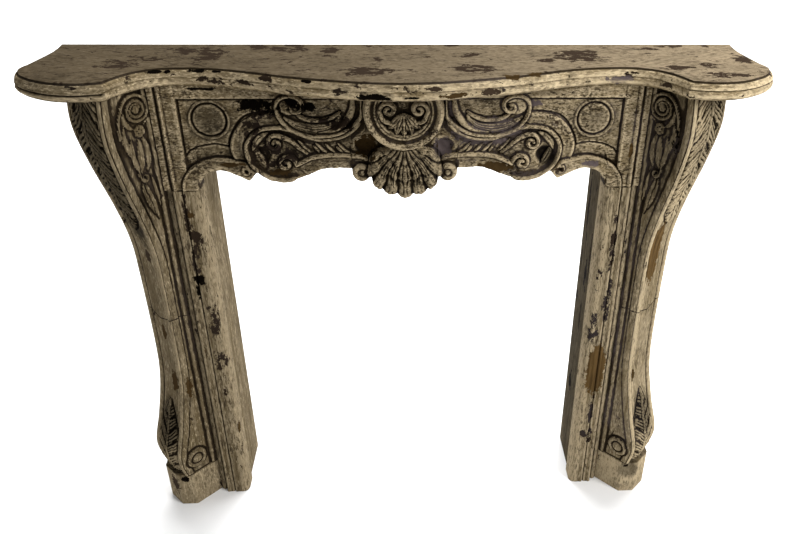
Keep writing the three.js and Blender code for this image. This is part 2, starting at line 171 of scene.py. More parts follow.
class Carving:
    """The height of carving over a flat field, worked out on a grid of places."""

    def __init__(self, across, up, base=0.0):
        self.across = across
        self.up = up
        self.height = np.full_like(across, base)

    def nearest(self, path):
        """Each place's distance from a path, above 0 on its left-hand side, and how far along it is."""
        lengths = np.hypot(*np.diff(path, axis=0).T)
        best = np.full(self.across.shape, np.inf)
        side = np.ones_like(best)
        along = np.zeros_like(best)
        done = 0.0
        for start, end, length in zip(path[:-1], path[1:], lengths):
            if length < 1e-9:
                continue
            head = (end - start) / length
            run_x, run_z = self.across - start[0], self.up - start[1]
            on = np.clip(run_x * head[0] + run_z * head[1], 0, length)
            gap = np.hypot(run_x - on * head[0], run_z - on * head[1])
            closer = gap < best
            best = np.where(closer, gap, best)
            side = np.where(closer, np.where(head[0] * run_z < head[1] * run_x, -1, 1), side)
            along = np.where(closer, (done + on) / lengths.sum(), along)
            done += length
        return best * side, along

    def groove(self, path, width, depth):
        """A round line cut along a path."""
        away, _ = self.nearest(path)
        self.height -= depth * bell(away / width)

    def pocket(self, middle, reach, depth, stretch=1.0):
        """A round hollow cut into the field."""
        away = np.hypot((self.across - middle[0]) / stretch, self.up - middle[1])
        self.height -= depth * ramp(reach - away, 0, 0.5 * reach)

    def band(self, path, profile, ends=0.08):
        """A moulded band along a path. The profile runs across it, from its right-hand side to its
        left, as pairs of distance from the path and height. Its ends die away."""
        away, along = self.nearest(path)
        place, rise = np.asarray(profile, float).T
        size = 0.25 + 0.75 * ramp(np.minimum(along, 1 - along), -0.01, ends)
        lift = np.interp(away / size, place, rise) * size
        within = (away / size > place[0]) & (away / size < place[-1])
        self.height = np.where(within, np.maximum(lift, np.minimum(self.height, lift + 2)), self.height)

    def roll(self, path, width, rise, base=0.0, quirk=1.5):
        """A rounded roll along a path, with a small quirk cut beside it."""
        away, along = self.nearest(path)
        half = width(along) if callable(width) else width
        lift = rise(along) if callable(rise) else rise
        beside = bell((np.abs(away) - half - 1.2) / 1.6)
        self.height -= quirk * beside * ramp(along, 0, 0.05)
        self.height = np.maximum(self.height, np.where(np.abs(away) < half,
                                                       base + lift * dome(away / half), -99))

    def leaf(self, path, width, rise, veins, base=0.0, slant=0.0):
        """A veined leaf along a path: broad in the middle, with ridges that run to its tip."""
        away, along = self.nearest(path)
        half = width * np.sin(math.pi * np.clip(along, 0.02, 0.98)) ** 0.7 + 0.01
        part = away / half
        ridges = np.abs(np.sin(math.pi * (veins * (part + 1) / 2 + slant * along * np.sign(part))))
        inside = np.abs(part) < 1
        lift = base + rise * dome(part) ** 0.6 * (0.6 + 0.4 * ridges**0.7)
        self.height -= 1.2 * bell((np.abs(away) - half - 1) / 1.5) * ramp(along, 0, 0.04)
        self.height = np.maximum(self.height, np.where(inside, lift, -99))

    def boss(self, middle, profile, ring=2.0):
        """A round moulding: its profile runs from the middle outwards as radius and height."""
        away = np.hypot(self.across - middle[0], self.up - middle[1])
        radius, rise = np.asarray(profile, float).T
        self.height -= ring * bell((away - radius[-1] - 1.5) / 1.8)
        self.height = np.where(away <= radius[-1], np.interp(away, radius, rise), self.height)


def inside_outline(outline, x, z):
    """Which places lie inside a closed outline."""
    within = np.zeros(x.shape, bool)
    for (x0, z0), (x1, z1) in zip(outline, np.roll(outline, -1, axis=0)):
        if z0 == z1:
            continue
        crosses = (z0 > z) != (z1 > z)
        at = x0 + (z - z0) * (x1 - x0) / (z1 - z0)
        within ^= crosses & (x < at)
    return within


def in_frame(points):
    """Points in millimetres from the wall and the floor, as metres in the frame."""
    return (np.asarray(points) + [0, WALL, 0]) * MM


def set_hollow(mesh, values):
    """Stores how sunk each point of a mesh is, for its paint."""
    mesh.attributes.new("hollow", "FLOAT", "POINT").data.foreach_set("value", values.astype(np.float32))


def grid_faces(rows, columns, start, wrap):
    """Quads between the neighbours of a grid of points, in rows, wrapped round where asked."""
    index = np.arange(rows * columns).reshape(rows, columns) + start
    if wrap:
        index = np.hstack([index, index[:, :1]])
    return np.stack([index[:-1, :-1], index[:-1, 1:], index[1:, 1:], index[1:, :-1]], -1).reshape(-1, 4)


def closed_piece(name, blocks, loops=()):
    """One closed mesh from grids of points that share their borders. Each block is its points,
    the hollow of each point and whether its rows close on themselves. Loops are extra flat faces,
    as lists of points. What is still open is filled."""
    points, hollow, faces = [], [], []
    start = 0
    for block, sunk, wrap in blocks:
        rows, columns = block.shape[:2]
        faces.append(grid_faces(rows, columns, start, wrap))
        points.append(block.reshape(-1, 3))
        hollow.append(np.broadcast_to(sunk, (rows, columns)).reshape(-1))
        start += rows * columns
    mesh = bpy.data.meshes.new(name)
    mesh.from_pydata(in_frame(np.vstack(points)), [], np.vstack(faces).tolist())
    set_hollow(mesh, np.concatenate(hollow))
    body = bmesh.new()
    body.from_mesh(mesh)
    bmesh.ops.remove_doubles(body, verts=body.verts, dist=JOIN)
    for loop in loops:
        body.faces.new([body.verts.new(spot) for spot in in_frame(loop)])
    bmesh.ops.remove_doubles(body, verts=body.verts, dist=JOIN)
    bmesh.ops.holes_fill(body, edges=[edge for edge in body.edges if edge.is_boundary], sides=0)
    bmesh.ops.triangulate(body, faces=[face for face in body.faces if len(face.verts) > 4])
    bmesh.ops.dissolve_degenerate(body, dist=1e-7, edges=body.edges)
    bmesh.ops.recalc_face_normals(body, faces=body.faces)
    body.to_mesh(mesh)
    body.free()
    return mesh


def show_piece(mesh, node, material, angle=50):
    """Puts a finished mesh in the scene in place of its CAD node."""
    mesh.materials.clear()
    mesh.materials.append(material)
    mesh.shade_smooth()
    mesh.set_sharp_from_angle(angle=math.radians(angle))
    piece = bpy.data.objects.new(mesh.name, mesh)
    bpy.context.scene.collection.objects.link(piece)
    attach(piece, "root")
    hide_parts(node)


class Shade:
    """One socket of a material's nodes, so that shader maths can be written as sums."""

    def __init__(self, finish, socket):
        self.finish = finish
        self.socket = socket

    def math(self, operation, first, second):
        """The socket that gives the result of two values."""
        return self.finish.node("ShaderNodeMath", {"operation": operation}, {0: first, 1: second})

    def __add__(self, other):
        return self.math("ADD", self, other)

    def __radd__(self, other):
        return self.math("ADD", other, self)

    def __sub__(self, other):
        return self.math("SUBTRACT", self, other)

    def __rsub__(self, other):
        return self.math("SUBTRACT", other, self)

    def __mul__(self, other):
        return self.math("MULTIPLY", self, other)

    def __rmul__(self, other):
        return self.math("MULTIPLY", other, self)

    def __or__(self, other):
        return self.math("MAXIMUM", self, other)


class Finish:
    """A material under construction: its node tree and the few nodes that every finish needs."""

    def __init__(self, name):
        self.material = bpy.data.materials.new(name)
        self.material.use_nodes = True
        self.tree = self.material.node_tree
        self.tree.nodes.clear()
        self.place = self.node("ShaderNodeTexCoord", output="Object")
        self.hollow = self.node("ShaderNodeAttribute", {"attribute_name": "hollow"}, output="Fac")

    def node(self, kind, settings=None, inputs=None, output=0):
        """Adds any node: its settings first, then the values or links of its sockets."""
        made = self.tree.nodes.new(kind)
        for name, value in (settings or {}).items():
            setattr(made, name, value)
        for key, value in (inputs or {}).items():
            socket = made.inputs[key]
            if isinstance(value, Shade):
                self.tree.links.new(value.socket, socket)
            else:
                socket.default_value = (*value, 1.0) if socket.type == "RGBA" else value
        return Shade(self, made.outputs[output]) if made.outputs else made

    def along(self, axis):
        """How far each place lies along one axis."""
        return self.node("ShaderNodeSeparateXYZ", None, {0: self.place}, axis)

    def stretched(self, stretch, shift):
        """The place of each point, stretched and then shifted."""
        return self.node("ShaderNodeVectorMath", {"operation": "MULTIPLY_ADD"},
                         {0: self.place, 1: stretch, 2: shift})

    def noise(self, scale, detail, roughness=0.55, distortion=0.0, stretch=(1, 1, 1), shift=0.0):
        """Soft noise over a piece, from a part of the pattern that the shift picks."""
        return self.node("ShaderNodeTexNoise", None, {
            "Vector": self.stretched(stretch, (shift, 0.7 * shift, 1.3 * shift)), "Scale": scale,
            "Detail": detail, "Roughness": roughness, "Distortion": distortion}, "Fac")

    def step(self, value, low, high):
        """A smooth step of a value from 0 at low to 1 at high."""
        return self.node("ShaderNodeMapRange", {"interpolation_type": "SMOOTHSTEP"},
                         {"Value": value, "From Min": low, "From Max": high})

    def mix(self, share, first, second):
        """A colour between two others."""
        return self.node("ShaderNodeMix", {"data_type": "RGBA"}, {0: share, 6: first, 7: second}, 2)

    def patches(self, places, ragged, soft=0.04):
        """A mask for some patches with ragged edges, each given by its middle and half sizes."""
        away = None
        for middle, size in places:
            shift = [-(m + w) / s for m, w, s in zip(middle, (0, WALL, 0), size)]
            moved = self.stretched([1 / (s * MM) for s in size], shift)
            gap = self.node("ShaderNodeVectorMath", {"operation": "LENGTH"}, {0: moved}, "Value")
            away = gap if away is None else gap.math("MINIMUM", gap, away)
        return self.step(away + ragged, 1.0 + soft, 1.0 - soft)

    def done(self, colour, roughness, relief, strength, distance):
        """Ends the tree in a shader, with the relief as its bump."""
        bump = self.node("ShaderNodeBump", None,
                         {"Strength": strength, "Distance": distance, "Height": relief})
        shader = self.node("ShaderNodeBsdfPrincipled", None, {
            "Base Color": colour, "Roughness": roughness, "Normal": bump, "Specular IOR Level": 0.005})
        self.node("ShaderNodeOutputMaterial", None, {"Surface": shader})
        return self.material


def count_property(name, description, default, least):
    """A number of rows or columns that a user would change."""
    return bpy.props.IntProperty(name=name, description=description, default=default, min=least)


def size_property(name, description, default, least):
    """A size in metres that a user would change."""
    return bpy.props.FloatProperty(name=name, description=description, default=default, min=least,
                                   unit="LENGTH")


def colour_property(name, description, default):
    """A colour that a user would change."""
    return bpy.props.FloatVectorProperty(name=name, description=description, default=default,
                                         subtype="COLOR", size=3, min=0, max=1)


class MantelSizes(bpy.types.PropertyGroup):
    """Sizes of the fine work that a user would change."""

    frieze_columns: count_property(
        "Frieze columns", "Columns of the fine mesh over half of the frieze", 331, 60)
    frieze_rows: count_property("Frieze rows", "Rows of the fine mesh over the frieze", 138, 40)
    console_step: size_property(
        "Console step", "Height between rows of the fine mesh on the consoles", 0.0016, 0.001)
    tool_marks: size_property(
        "Tool marks", "Depth of the unevenness left by the carver's tools", 0.0005, 0.0)
    edge_round: size_property("Rounded edges", "How far the arrises are worn round", 0.0025, 0.0005)
    edge_chips: size_property("Edge chips", "Depth of the chips along the shelf's edge", 0.002, 0.0)


class MantelColours(bpy.types.PropertyGroup):
    """Colours of the paint, what shows through it and the stage."""

    paint: colour_property("Paint", "Cream paint where it is clean", (0.305, 0.244, 0.153))
    worn_paint: colour_property("Worn paint", "Paint where it is dull and worn thin", (0.148, 0.112, 0.061))
    # The shelf's top paint is made lighter towards its right end as painted light.
    top_paint: colour_property("Shelf paint", "Duller paint of the shelf's top", (0.084, 0.0655, 0.042))
    # The grime film is laid heavier towards the left, partly as painted shade.
    grime: colour_property("Grime", "Brown film over the paint", (0.05, 0.035, 0.0175))
    # This colour also serves as painted shade where parts meet, through the hollow marks.
    dirt: colour_property("Dirt", "Dark glaze and dirt in the hollows", (0.0135, 0.0088, 0.005))
    undercoat: colour_property("Undercoat", "Dark brown coat under the paint", (0.037, 0.0245, 0.0155))
    grey_coat: colour_property("Grey coat", "Purplish grey coat that shows in places", (0.088, 0.069, 0.066))
    bare_wood: colour_property("Bare wood", "Wood where the paint is gone", (0.112, 0.067, 0.025))
    floor: colour_property("Floor", "Pale floor of the stage", (0.9, 0.9, 0.9))


def times(share, colour):
    """A colour made lighter or darker."""
    return [share * v for v in colour]


def placed(marks, depth, thickness):
    """Marks given across and up, set at a depth that may change across, as middles and half sizes."""
    return {kind: [((x, depth(x), z), (half, thickness, tall)) for x, z, half, tall in places]
            for kind, places in marks.items()}


def old_paint(name, colours, grain, *, fade, specks, chips, chip_scale, patches,
              chip_stretch=(1, 1, 1), dirt=1.0, grime=0.6, top=None):
    """Old cream paint over a dark coat: mottled and streaked along the grain, grimy, dirty in the
    hollows, with painted shade where parts meet, rubbed pale on the ridges with a painted highlight
    there, specked and chipped, and darker towards the left, partly grime and partly painted shade.
    Patches are middles and half sizes by what shows in them, some of them painted shade, and paint
    above a given height is duller, with painted light making it lighter towards the right."""
    finish = Finish(name)
    # Towards the left the paint turns darker: partly grime, partly painted shade on the side away from the
    # light.
    left = finish.step(finish.along("X"), 0.6, -0.5)
    slow = [(v / max(grain)) ** 0.55 for v in grain]
    broad = finish.noise(5.0, 3.0, shift=3.0)
    mottle = finish.noise(40.0, 5.0, 0.62, stretch=slow)
    grit = finish.noise(130.0, 5.0, 0.7, stretch=slow, shift=6.0)
    fine = finish.noise(360.0, 2.0, 0.6, stretch=slow)
    edge = finish.noise(90.0, 6.0, 0.7, shift=4.0)
    streak = finish.noise(1.0, 5.0, 0.6, 0.4, stretch=grain)
    ragged = 1.5 * (mottle - 0.5) + 3.2 * (edge - 0.5)

    # Paint, rubbed pale on the ridges with a painted highlight there, under a brown film
    clean, worn, pale = (times(fade * part, coat) for part, coat in (
        (1.08, colours.paint), (1.25, colours.worn_paint), (1.68, colours.paint)))
    # The shelf's top takes a duller paint, 1.75 times lighter at its right end than at its left: painted
    # light from the right.
    if top:
        above = finish.step(finish.along("Z"), (top - 0.6) * MM, (top + 0.2) * MM)
        clean, worn, pale = (
            finish.mix(above, coat, finish.mix(left, times(1.75, shade), shade))
            for coat, shade in ((clean, times(1.2, colours.top_paint)),
                                (worn, times(0.95, colours.top_paint)),
                                (pale, times(1.35, colours.top_paint))))
    tone = finish.step(0.32 * mottle + 0.1 * grit + 0.2 * broad + 0.38 * streak, 0.41, 0.57)
    paint = finish.mix(tone, worn, clean)
    # Painted highlight: ridges take a paler copy of the paint, partly rubbed wear and partly painted
    # highlight.
    ridge = finish.step(0.3 * (grit - 0.5) + 0.4 * (mottle - 0.5) - finish.hollow, 0.06, 0.42)
    paint = finish.mix(ridge * 0.8, paint, pale)
    film = finish.step(0.12 * grit + 0.3 * mottle + 0.35 * streak + 0.23 * broad + 0.25 * finish.hollow,
                       0.48, 0.6)
    # The brown film is heavier towards the left, partly grime and partly painted shade.
    paint = finish.mix((film * (grime * (0.45 + 0.6 * left))) | (left * 0.4), paint, colours.grime)

    # Dirt in the hollows, with painted shade where parts meet, then dots, flecks and specks
    sunk = finish.step(finish.hollow + 0.25 * ragged + 0.3 * (broad - 0.5), 0.02, 0.36)
    # Hollows and chips are greyer towards the right and dark brown towards the left, partly painted shade.
    greyed = finish.step(broad + 0.3 * (grit - 0.5), 0.44, 0.6) * (1.0 - 0.8 * left)
    paint = finish.mix(sunk * (0.95 * dirt), paint,
                       finish.mix(greyed, colours.dirt, times(0.6, colours.grey_coat)))
    dots = finish.step(fine + 0.45 * (grit - 0.5), 0.47, 0.39) * (0.8 * specks)
    paint = finish.mix(dots, paint, colours.grime)
    flecks = finish.step(fine + 0.4 * (mottle - 0.5), 0.56, 0.65) * (0.55 - 0.55 * sunk)
    paint = finish.mix(flecks, paint, pale)
    cluster = finish.step(finish.noise(15.0, 3.0, 0.6, shift=8.0), 0.4, 0.64)
    speck = finish.noise(230.0, 4.0, 0.65, stretch=slow, shift=2.0) + 0.09 * cluster
    speck = finish.step(speck, 0.6, 0.625) * specks
    paint = finish.mix(speck * (0.55 + 0.4 * cluster), paint, colours.dirt)

    # Flakes that show the coat under the paint
    flake = finish.noise(chip_scale, 9.0, 0.72, 0.3, stretch=chip_stretch, shift=5.0)
    if "flaky" in patches:
        flake = flake + 0.16 * finish.patches(patches["flaky"], 0.4 * ragged, 0.55)
    chip = finish.step(flake, 1.0 - chips, 1.012 - chips)
    under = finish.mix(finish.step(broad, 0.42, 0.6) * (1.0 - 0.8 * left),
                       times(0.55, colours.undercoat), times(0.32, colours.grey_coat))
    if top:
        under = finish.mix(above, under, times(0.7, colours.undercoat))
    paint = finish.mix(chip, paint, under)

    # Patches of other coats, bare wood and stains, and patches of painted shade
    wood = finish.mix(finish.step(streak, 0.35, 0.65), times(0.45, colours.bare_wood), colours.bare_wood)
    coats = {"grey": colours.grey_coat, "dark": colours.undercoat, "brown": times(0.4, colours.bare_wood),
             "black": times(0.2, colours.dirt), "bare": wood}
    for kind, coat in coats.items():
        if kind in patches:
            mask = finish.patches(patches[kind], ragged * (0.45 if kind == "bare" else 1.0))
            chip = chip | mask
            paint = finish.mix(mask * (1.0 - 0.65 * ridge) if kind == "grey" else mask, paint, coat)
    # These dimming patches are partly stains and grime, and partly painted shade and a painted shadow.
    for kind, weight in (("stain_and_shade", 0.42), ("smoke_and_shade", 0.65), ("soot_and_shade", 1.0)):
        if kind in patches:
            mask = finish.patches(patches[kind], 0.3 * ragged, 0.3) * (weight - 0.25 * ridge)
            dimmed = finish.node("ShaderNodeVectorMath", {"operation": "SCALE"}, {0: paint, "Scale": 0.2})
            paint = finish.mix(mask, paint, dimmed)
    roughness = 0.6 + 0.2 * mottle - 0.06 * ridge + 0.06 * chip
    relief = 0.6 * fine + 0.35 * streak + 0.5 * mottle + 0.5 * grit - 0.7 * chip - 0.35 * speck
    return finish.done(paint, roughness, relief, 0.7, 0.0014)


# Shelf: the plan of its top arris on the right half, in two curves that meet in a mitre, and the
# edge moulding as pairs of depth below the top and reach past the arris.
SHELF_END = [(660, 0), (657, -52), (667, -125), (674, -161), (660, -194), (630, -221), (592, -240),
             (548, -246), (508, -238)]
SHELF_FRONT = [(508, -238), (494, -208), (470, -177), (432, -158), (388, -154), (330, -161),
               (265, -182), (195, -209), (120, -229), (60, -241), (0, -246)]
SHELF_EDGE = [(0, -1.2), (0.35, -0.35), (1.2, 0), (3, 0.1), (3.6, 0.8), (4.3, 2.6), (5.2, 4.2),
              (7, 5.8), (9.5, 7.2), (12, 8.1), (14, 8.5), (15.4, 8.7), (16.3, 8.8), (17, 8.9),
              (17.6, 9.0), (18.6, 9.3), (20, 9.6), (22, 9.95), (24.5, 9.9), (27, 9), (29.5, 7.2),
              (31.6, 5.0), (33, 3)]
MITRE = 508
SHELF_FACE = 1049.6
# The groove in the edge of the left horn, the front and the right horn: depth below the top, width
# and depth into the edge.
EDGE_GROOVES = [(20.5, 1.7, 5.5), (16.4, 1.3, 1.5), (15.5, 1.2, 2.6)]
# Places along the front where the edge is chipped: middle, half length, depth band and weight.
SHELF_CHIPS = [(-47, 36, 17, 31, 1.3), (4, 8, 20, 27, 0.7), (98, 14, 19, 26, 0.8),
               (154, 9, 18, 25, 0.6), (-210, 12, 4, 12, 0.5), (-310, 16, 5, 13, 0.6),
               (330, 10, 20, 30, 0.6)]

# Flakes on the top as places and half sizes, marks along the edge of the front between the mitres
# as places across and up and half sizes, by what shows in them, and a stain on the left horn.
TOP_FLAKES = [(-515, -135, 27, 22), (-470, -103, 22, 12), (-415, -45, 17, 25), (-362, -70, 22, 50),
              (-278, -20, 15, 18), (-218, -25, 28, 26), (-140, -45, 13, 28), (-45, -105, 8, 14),
              (-60, -180, 42, 20), (90, -3, 18, 12), (131, -75, 13, 14), (125, -165, 32, 24),
              (268, -110, 15, 14), (335, -85, 42, 36), (480, -35, 15, 10), (530, -15, 25, 9),
              (600, -12, 10, 10), (566, -148, 13, 16), (580, -205, 30, 15), (645, -100, 16, 22),
              (505, -160, 22, 12)]
EDGE_MARKS = {
    "black": [(-47, 1026, 34, 6), (12, 1026, 14, 2.2), (-438, 1045.5, 13, 2.2), (-418, 1045, 6, 2.4),
              (-368, 1045.5, 17, 2.2), (-330, 1046, 8, 1.6), (-165, 1045.5, 9, 2)],
    "flaky": [(-100, 1031, 19.6, 5.6), (-330, 1033, 42, 7), (-280, 1033, 30.8, 5.6),
              (-240, 1043, 14, 4.2)],
    "dark": [(55, 1040, 15, 4), (150, 1029, 20, 6), (480, 1030, 12, 5)],
    "brown": [(84, 1027, 27, 5), (195, 1049, 18, 4), (240, 1049, 16, 4)],
    "grey": [(402, 1030, 28, 7)],
}
HORN_STAIN = ((-600, -230, 1030), (100, 60, 24))


def shelf_plan():
    """The arris in plan from the wall on the right, round the front, to the wall on the left."""
    half = np.vstack([smooth_path(SHELF_END, 10), smooth_path(SHELF_FRONT, 10)[1:]])
    return np.vstack([half, (half * [-1, 1])[-2::-1]])


def reach_out(plan):
    """How each plan point moves when the edge reaches out by one."""
    step = np.diff(plan, axis=0)
    step /= np.linalg.norm(step, axis=1)[:, None]
    square = np.stack([-step[:, 1], step[:, 0]], -1)
    out = np.empty_like(plan)
    out[1:-1] = square[:-1] + square[1:]
    out[1:-1] /= np.linalg.norm(out[1:-1], axis=1)[:, None]
    out[1:-1] /= np.sum(out[1:-1] * square[1:], axis=1)[:, None]
    out[0], out[-1] = (1, 0), (-1, 0)
    return out * np.where(np.sum(out * plan, axis=1).mean() < 0, -1, 1)


class MANTEL_OT_shelf(bpy.types.Operator):
    """Makes the serpentine shelf with its moulded, chipped edge."""

    bl_idname = "mantel.shelf"
    bl_label = "Shelf"

    def execute(self, context):
        sizes = context.scene.mantel_sizes
        colours = context.scene.mantel_colours
        plan = shelf_plan()
        out = reach_out(plan)
        depth, reach = np.asarray(SHELF_EDGE, float).T
        shape = (len(depth), len(plan))
        groove = np.array([bell((depth - low) / wide) * deep for low, wide, deep in EDGE_GROOVES])
        groove = groove[np.digitize(plan[:, 0], (-MITRE, MITRE))].T
        worn = 0.35 * unevenness(shape, 2, 11)
        for middle, half, high, low, weight in SHELF_CHIPS:
            along = np.abs(plan[:, 0] - middle) / half + 0.25 * unevenness((1, len(plan)), 1, 5)[0]
            band = ramp(depth, high - 1.5, high + 1.5) * (1 - ramp(depth, low - 1.5, low + 1.5))
            worn += weight * sizes.edge_chips / MM * band[:, None] * (1 - ramp(along, 0.8, 1.1))
        worn[[0, -1]] = 0
        worn[:, [0, -1]] = 0
        reach = reach[:, None] - groove - np.maximum(worn, 0)
        sunk = hollows(reach, 1)
        sunk[:2], sunk[2:5] = -0.35, 0.7
        points = np.empty((*shape, 3))
        points[..., :2] = plan + out * reach[..., None]
        points[..., 2] = HEIGHT - depth[:, None]
        mesh = closed_piece("shelf_painted", [(points, sunk, False)], [points[0], points[-1]])
        front_x, front_y = np.asarray(SHELF_FRONT[::-1], float).T
        marks = placed(EDGE_MARKS, lambda x: np.interp(abs(x), front_x, front_y) - 4, 12)
        marks["flaky"] = [((x, y, HEIGHT), (1.2 * half_x, 1.2 * half_y, 8))
                          for x, y, half_x, half_y in TOP_FLAKES] + marks["flaky"]
        marks["stain_and_shade"] = [HORN_STAIN]
        material = old_paint("worn_shelf_paint", colours, (7, 26, 60), fade=1.2, specks=0.45, chips=0.4,
                             chip_scale=58.0, chip_stretch=(0.6, 1, 1), dirt=0.95, grime=0.35,
                             patches=marks, top=SHELF_FACE)
        show_piece(mesh, "shelf", material, 40)
        return {"FINISHED"}


# Frieze: the lower edge of its right half from beside the shell to the arch over the jamb, and
# the lines of its carving, as places across and up.
FRIEZE_EDGE = [(62, 838), (100, 850), (132, 852), (160, 849), (200, 832), (236, 825), (262, 832),
               (284, 842), (300, 828), (318, 837), (346, 849), (374, 845), (391, 829), (396, 810.3)]
ARCH_OUTER = [(288, 843), (301, 866), (325, 873), (350, 877), (370, 875), (390, 868), (410, 855),
              (423, 837), (428, 820), (429, 800)]
ARCH_PROFILE = [(0, -2), (0.05, 6), (0.15, 9.5), (0.3, 10.5), (0.6, 10), (0.78, 10), (0.88, 12.5),
                (0.93, 13.5), (0.97, 12), (1, 5)]
PANEL_LINE = [(414, 992), (414, 940), (414, 884), (405, 890), (385, 899), (356, 903), (331, 898)]
PANEL_CURVE = [(331, 898), (327, 914), (318, 932), (306, 949), (290, 960), (264, 965), (238, 966)]
RAIL_LINE = [(236, 990.5), (414, 990.5)]
STILE_BEAD = [(443.5, 1030), (443.5, 780)]
STILE_PROFILE = [(-5, 8), (-2.5, 10), (0, 12.5), (2.4, 11), (5, 6)]
STILE_LINE = [(450.5, 1030), (450.5, 780)]
OUTER_BAND = [(226, 952), (250, 952), (275, 948), (296, 936), (310, 917), (316, 897), (312, 880),
              (302, 866)]
OUTER_PROFILE = [(-12, 4), (-9, 6), (-4, 4.5), (4, 4.5), (9, 6.5), (11.5, 5), (12.5, 0)]
RIM = [(80, 950), (94, 934), (110, 923), (130, 916), (155, 914), (175, 916), (195, 924), (212, 932),
       (230, 937), (250, 937), (267, 934), (282, 924), (294, 910), (299, 895), (297, 878),
       (291, 863), (280, 850), (265, 839), (247, 832), (225, 830), (206, 835)]
RIM_PROFILE = [(-17, 1), (-13, -0.5), (-7, 1.5), (-4, 6), (-2.4, 12), (0, 14), (2.2, 12.5), (4, 6)]
UPPER_SCROLL = [(78, 990), (79, 962), (86, 949), (100, 937), (118, 927), (140, 921.5), (165, 920.5),
                (186, 923), (206, 931), (223, 945), (233, 962), (235, 980), (228, 992), (214, 998),
                (199, 996), (189, 988), (187, 977), (193, 968), (203, 967), (208, 973), (205, 980),
                (199, 980)]
LOWER_RIDGE = [(62, 864), (75, 875), (95, 880), (120, 881.5), (150, 881), (175, 877), (193, 869),
               (207, 861)]
LOWER_PROFILE = [(-34, 2), (-24, 2.5), (-14, 2), (-6, 4.5), (-2.6, 9.5), (0, 11.5), (2.4, 9), (4.5, 2)]
STEM = [(186, 884), (202, 898), (216, 911), (232, 919)]
SHELL_ROOT = (0, 912)
SHELL_RIM = [(0, 112), (16, 110), (32, 106), (48, 92), (64, 68), (72, 52)]
SHELL_SPREAD = SHELL_RIM[-1][0]
SHELL_RIBS = 9
RIB_REACH = 5
KNOB = (83, 845)
KNOB_RADIUS = 19
OVAL = (0, 976)
DISC = (361, 951)
DEEPEST_CARVING = 44.5

# Marks on the frieze as places across and up and half sizes, by what shows in them.
FRIEZE_MARKS = {
    "black": [(-275, 979, 36, 12), (-207, 987, 14, 11), (-175, 976, 16, 9), (-368, 1012, 22, 3)],
    "flaky": [(-262, 961, 25.2, 9.8), (-291, 944, 12.6, 15.4), (-278, 930, 34, 28),
              (-250, 884, 44, 36), (-120, 948, 50, 16)],
    "stain_and_shade": [(-163, 902, 64, 14), (0, 976, 70, 60), (361, 951, 46, 42), (-230, 910, 190, 70)],
    "brown": [(-75, 899, 22, 20), (-240, 845, 16, 6), (-330, 865, 20, 5), (172, 851, 38, 11)],
    "grey": [(105, 922, 14, 12), (150, 906, 44, 9), (205, 926, 24, 10), (170, 941, 46, 12),
             (92, 965, 9, 18), (74, 895, 18, 18), (362, 861, 18, 6), (247, 981, 13, 6)],
    "soot_and_shade": [(272, 877, 20, 20)],
    "dark": [(303, 849, 9, 6), (289, 944, 4, 4)],
    "bare": [(438, 890, 4, 16)],
    "smoke_and_shade": [(0, 850, 84, 56), (-361, 951, 42, 40)],
}


def scallop(turn):
    """The ribs of the shell by the angle from straight down: 1 on a rib and 0 beside it."""
    return np.abs(np.sin(math.pi * SHELL_RIBS * (turn / SHELL_SPREAD + 1) / 2))


def shell_rim(turn):
    """How far the scalloped rim of the shell lies from its root, by the angle from straight down."""
    return smooth_through(SHELL_RIM, turn) + RIB_REACH * scallop(turn)


def frieze_lower_edge(x):
    """The lowest point of the frieze at each place across its right half."""
    edge = smooth_path(FRIEZE_EDGE, 8)
    low = np.interp(x, edge[:, 0], edge[:, 1], left=900)
    low = np.where(x >= OPENING_HALF, JAMB_TOP + GAP, low)
    knob = KNOB[1] - KNOB_RADIUS * dome((x - KNOB[0]) / KNOB_RADIUS)
    low = np.where(np.abs(x - KNOB[0]) < KNOB_RADIUS, np.minimum(low, knob), low)
    turn = np.linspace(0, SHELL_SPREAD, 150)
    rim_x = shell_rim(turn) * np.sin(np.radians(turn))
    rim_z = SHELL_ROOT[1] - shell_rim(turn) * np.cos(np.radians(turn))
    lower = rim_z < 880
    shell = np.interp(x, np.maximum.accumulate(rim_x[lower]), rim_z[lower], right=900)
    return np.minimum(low, shell)


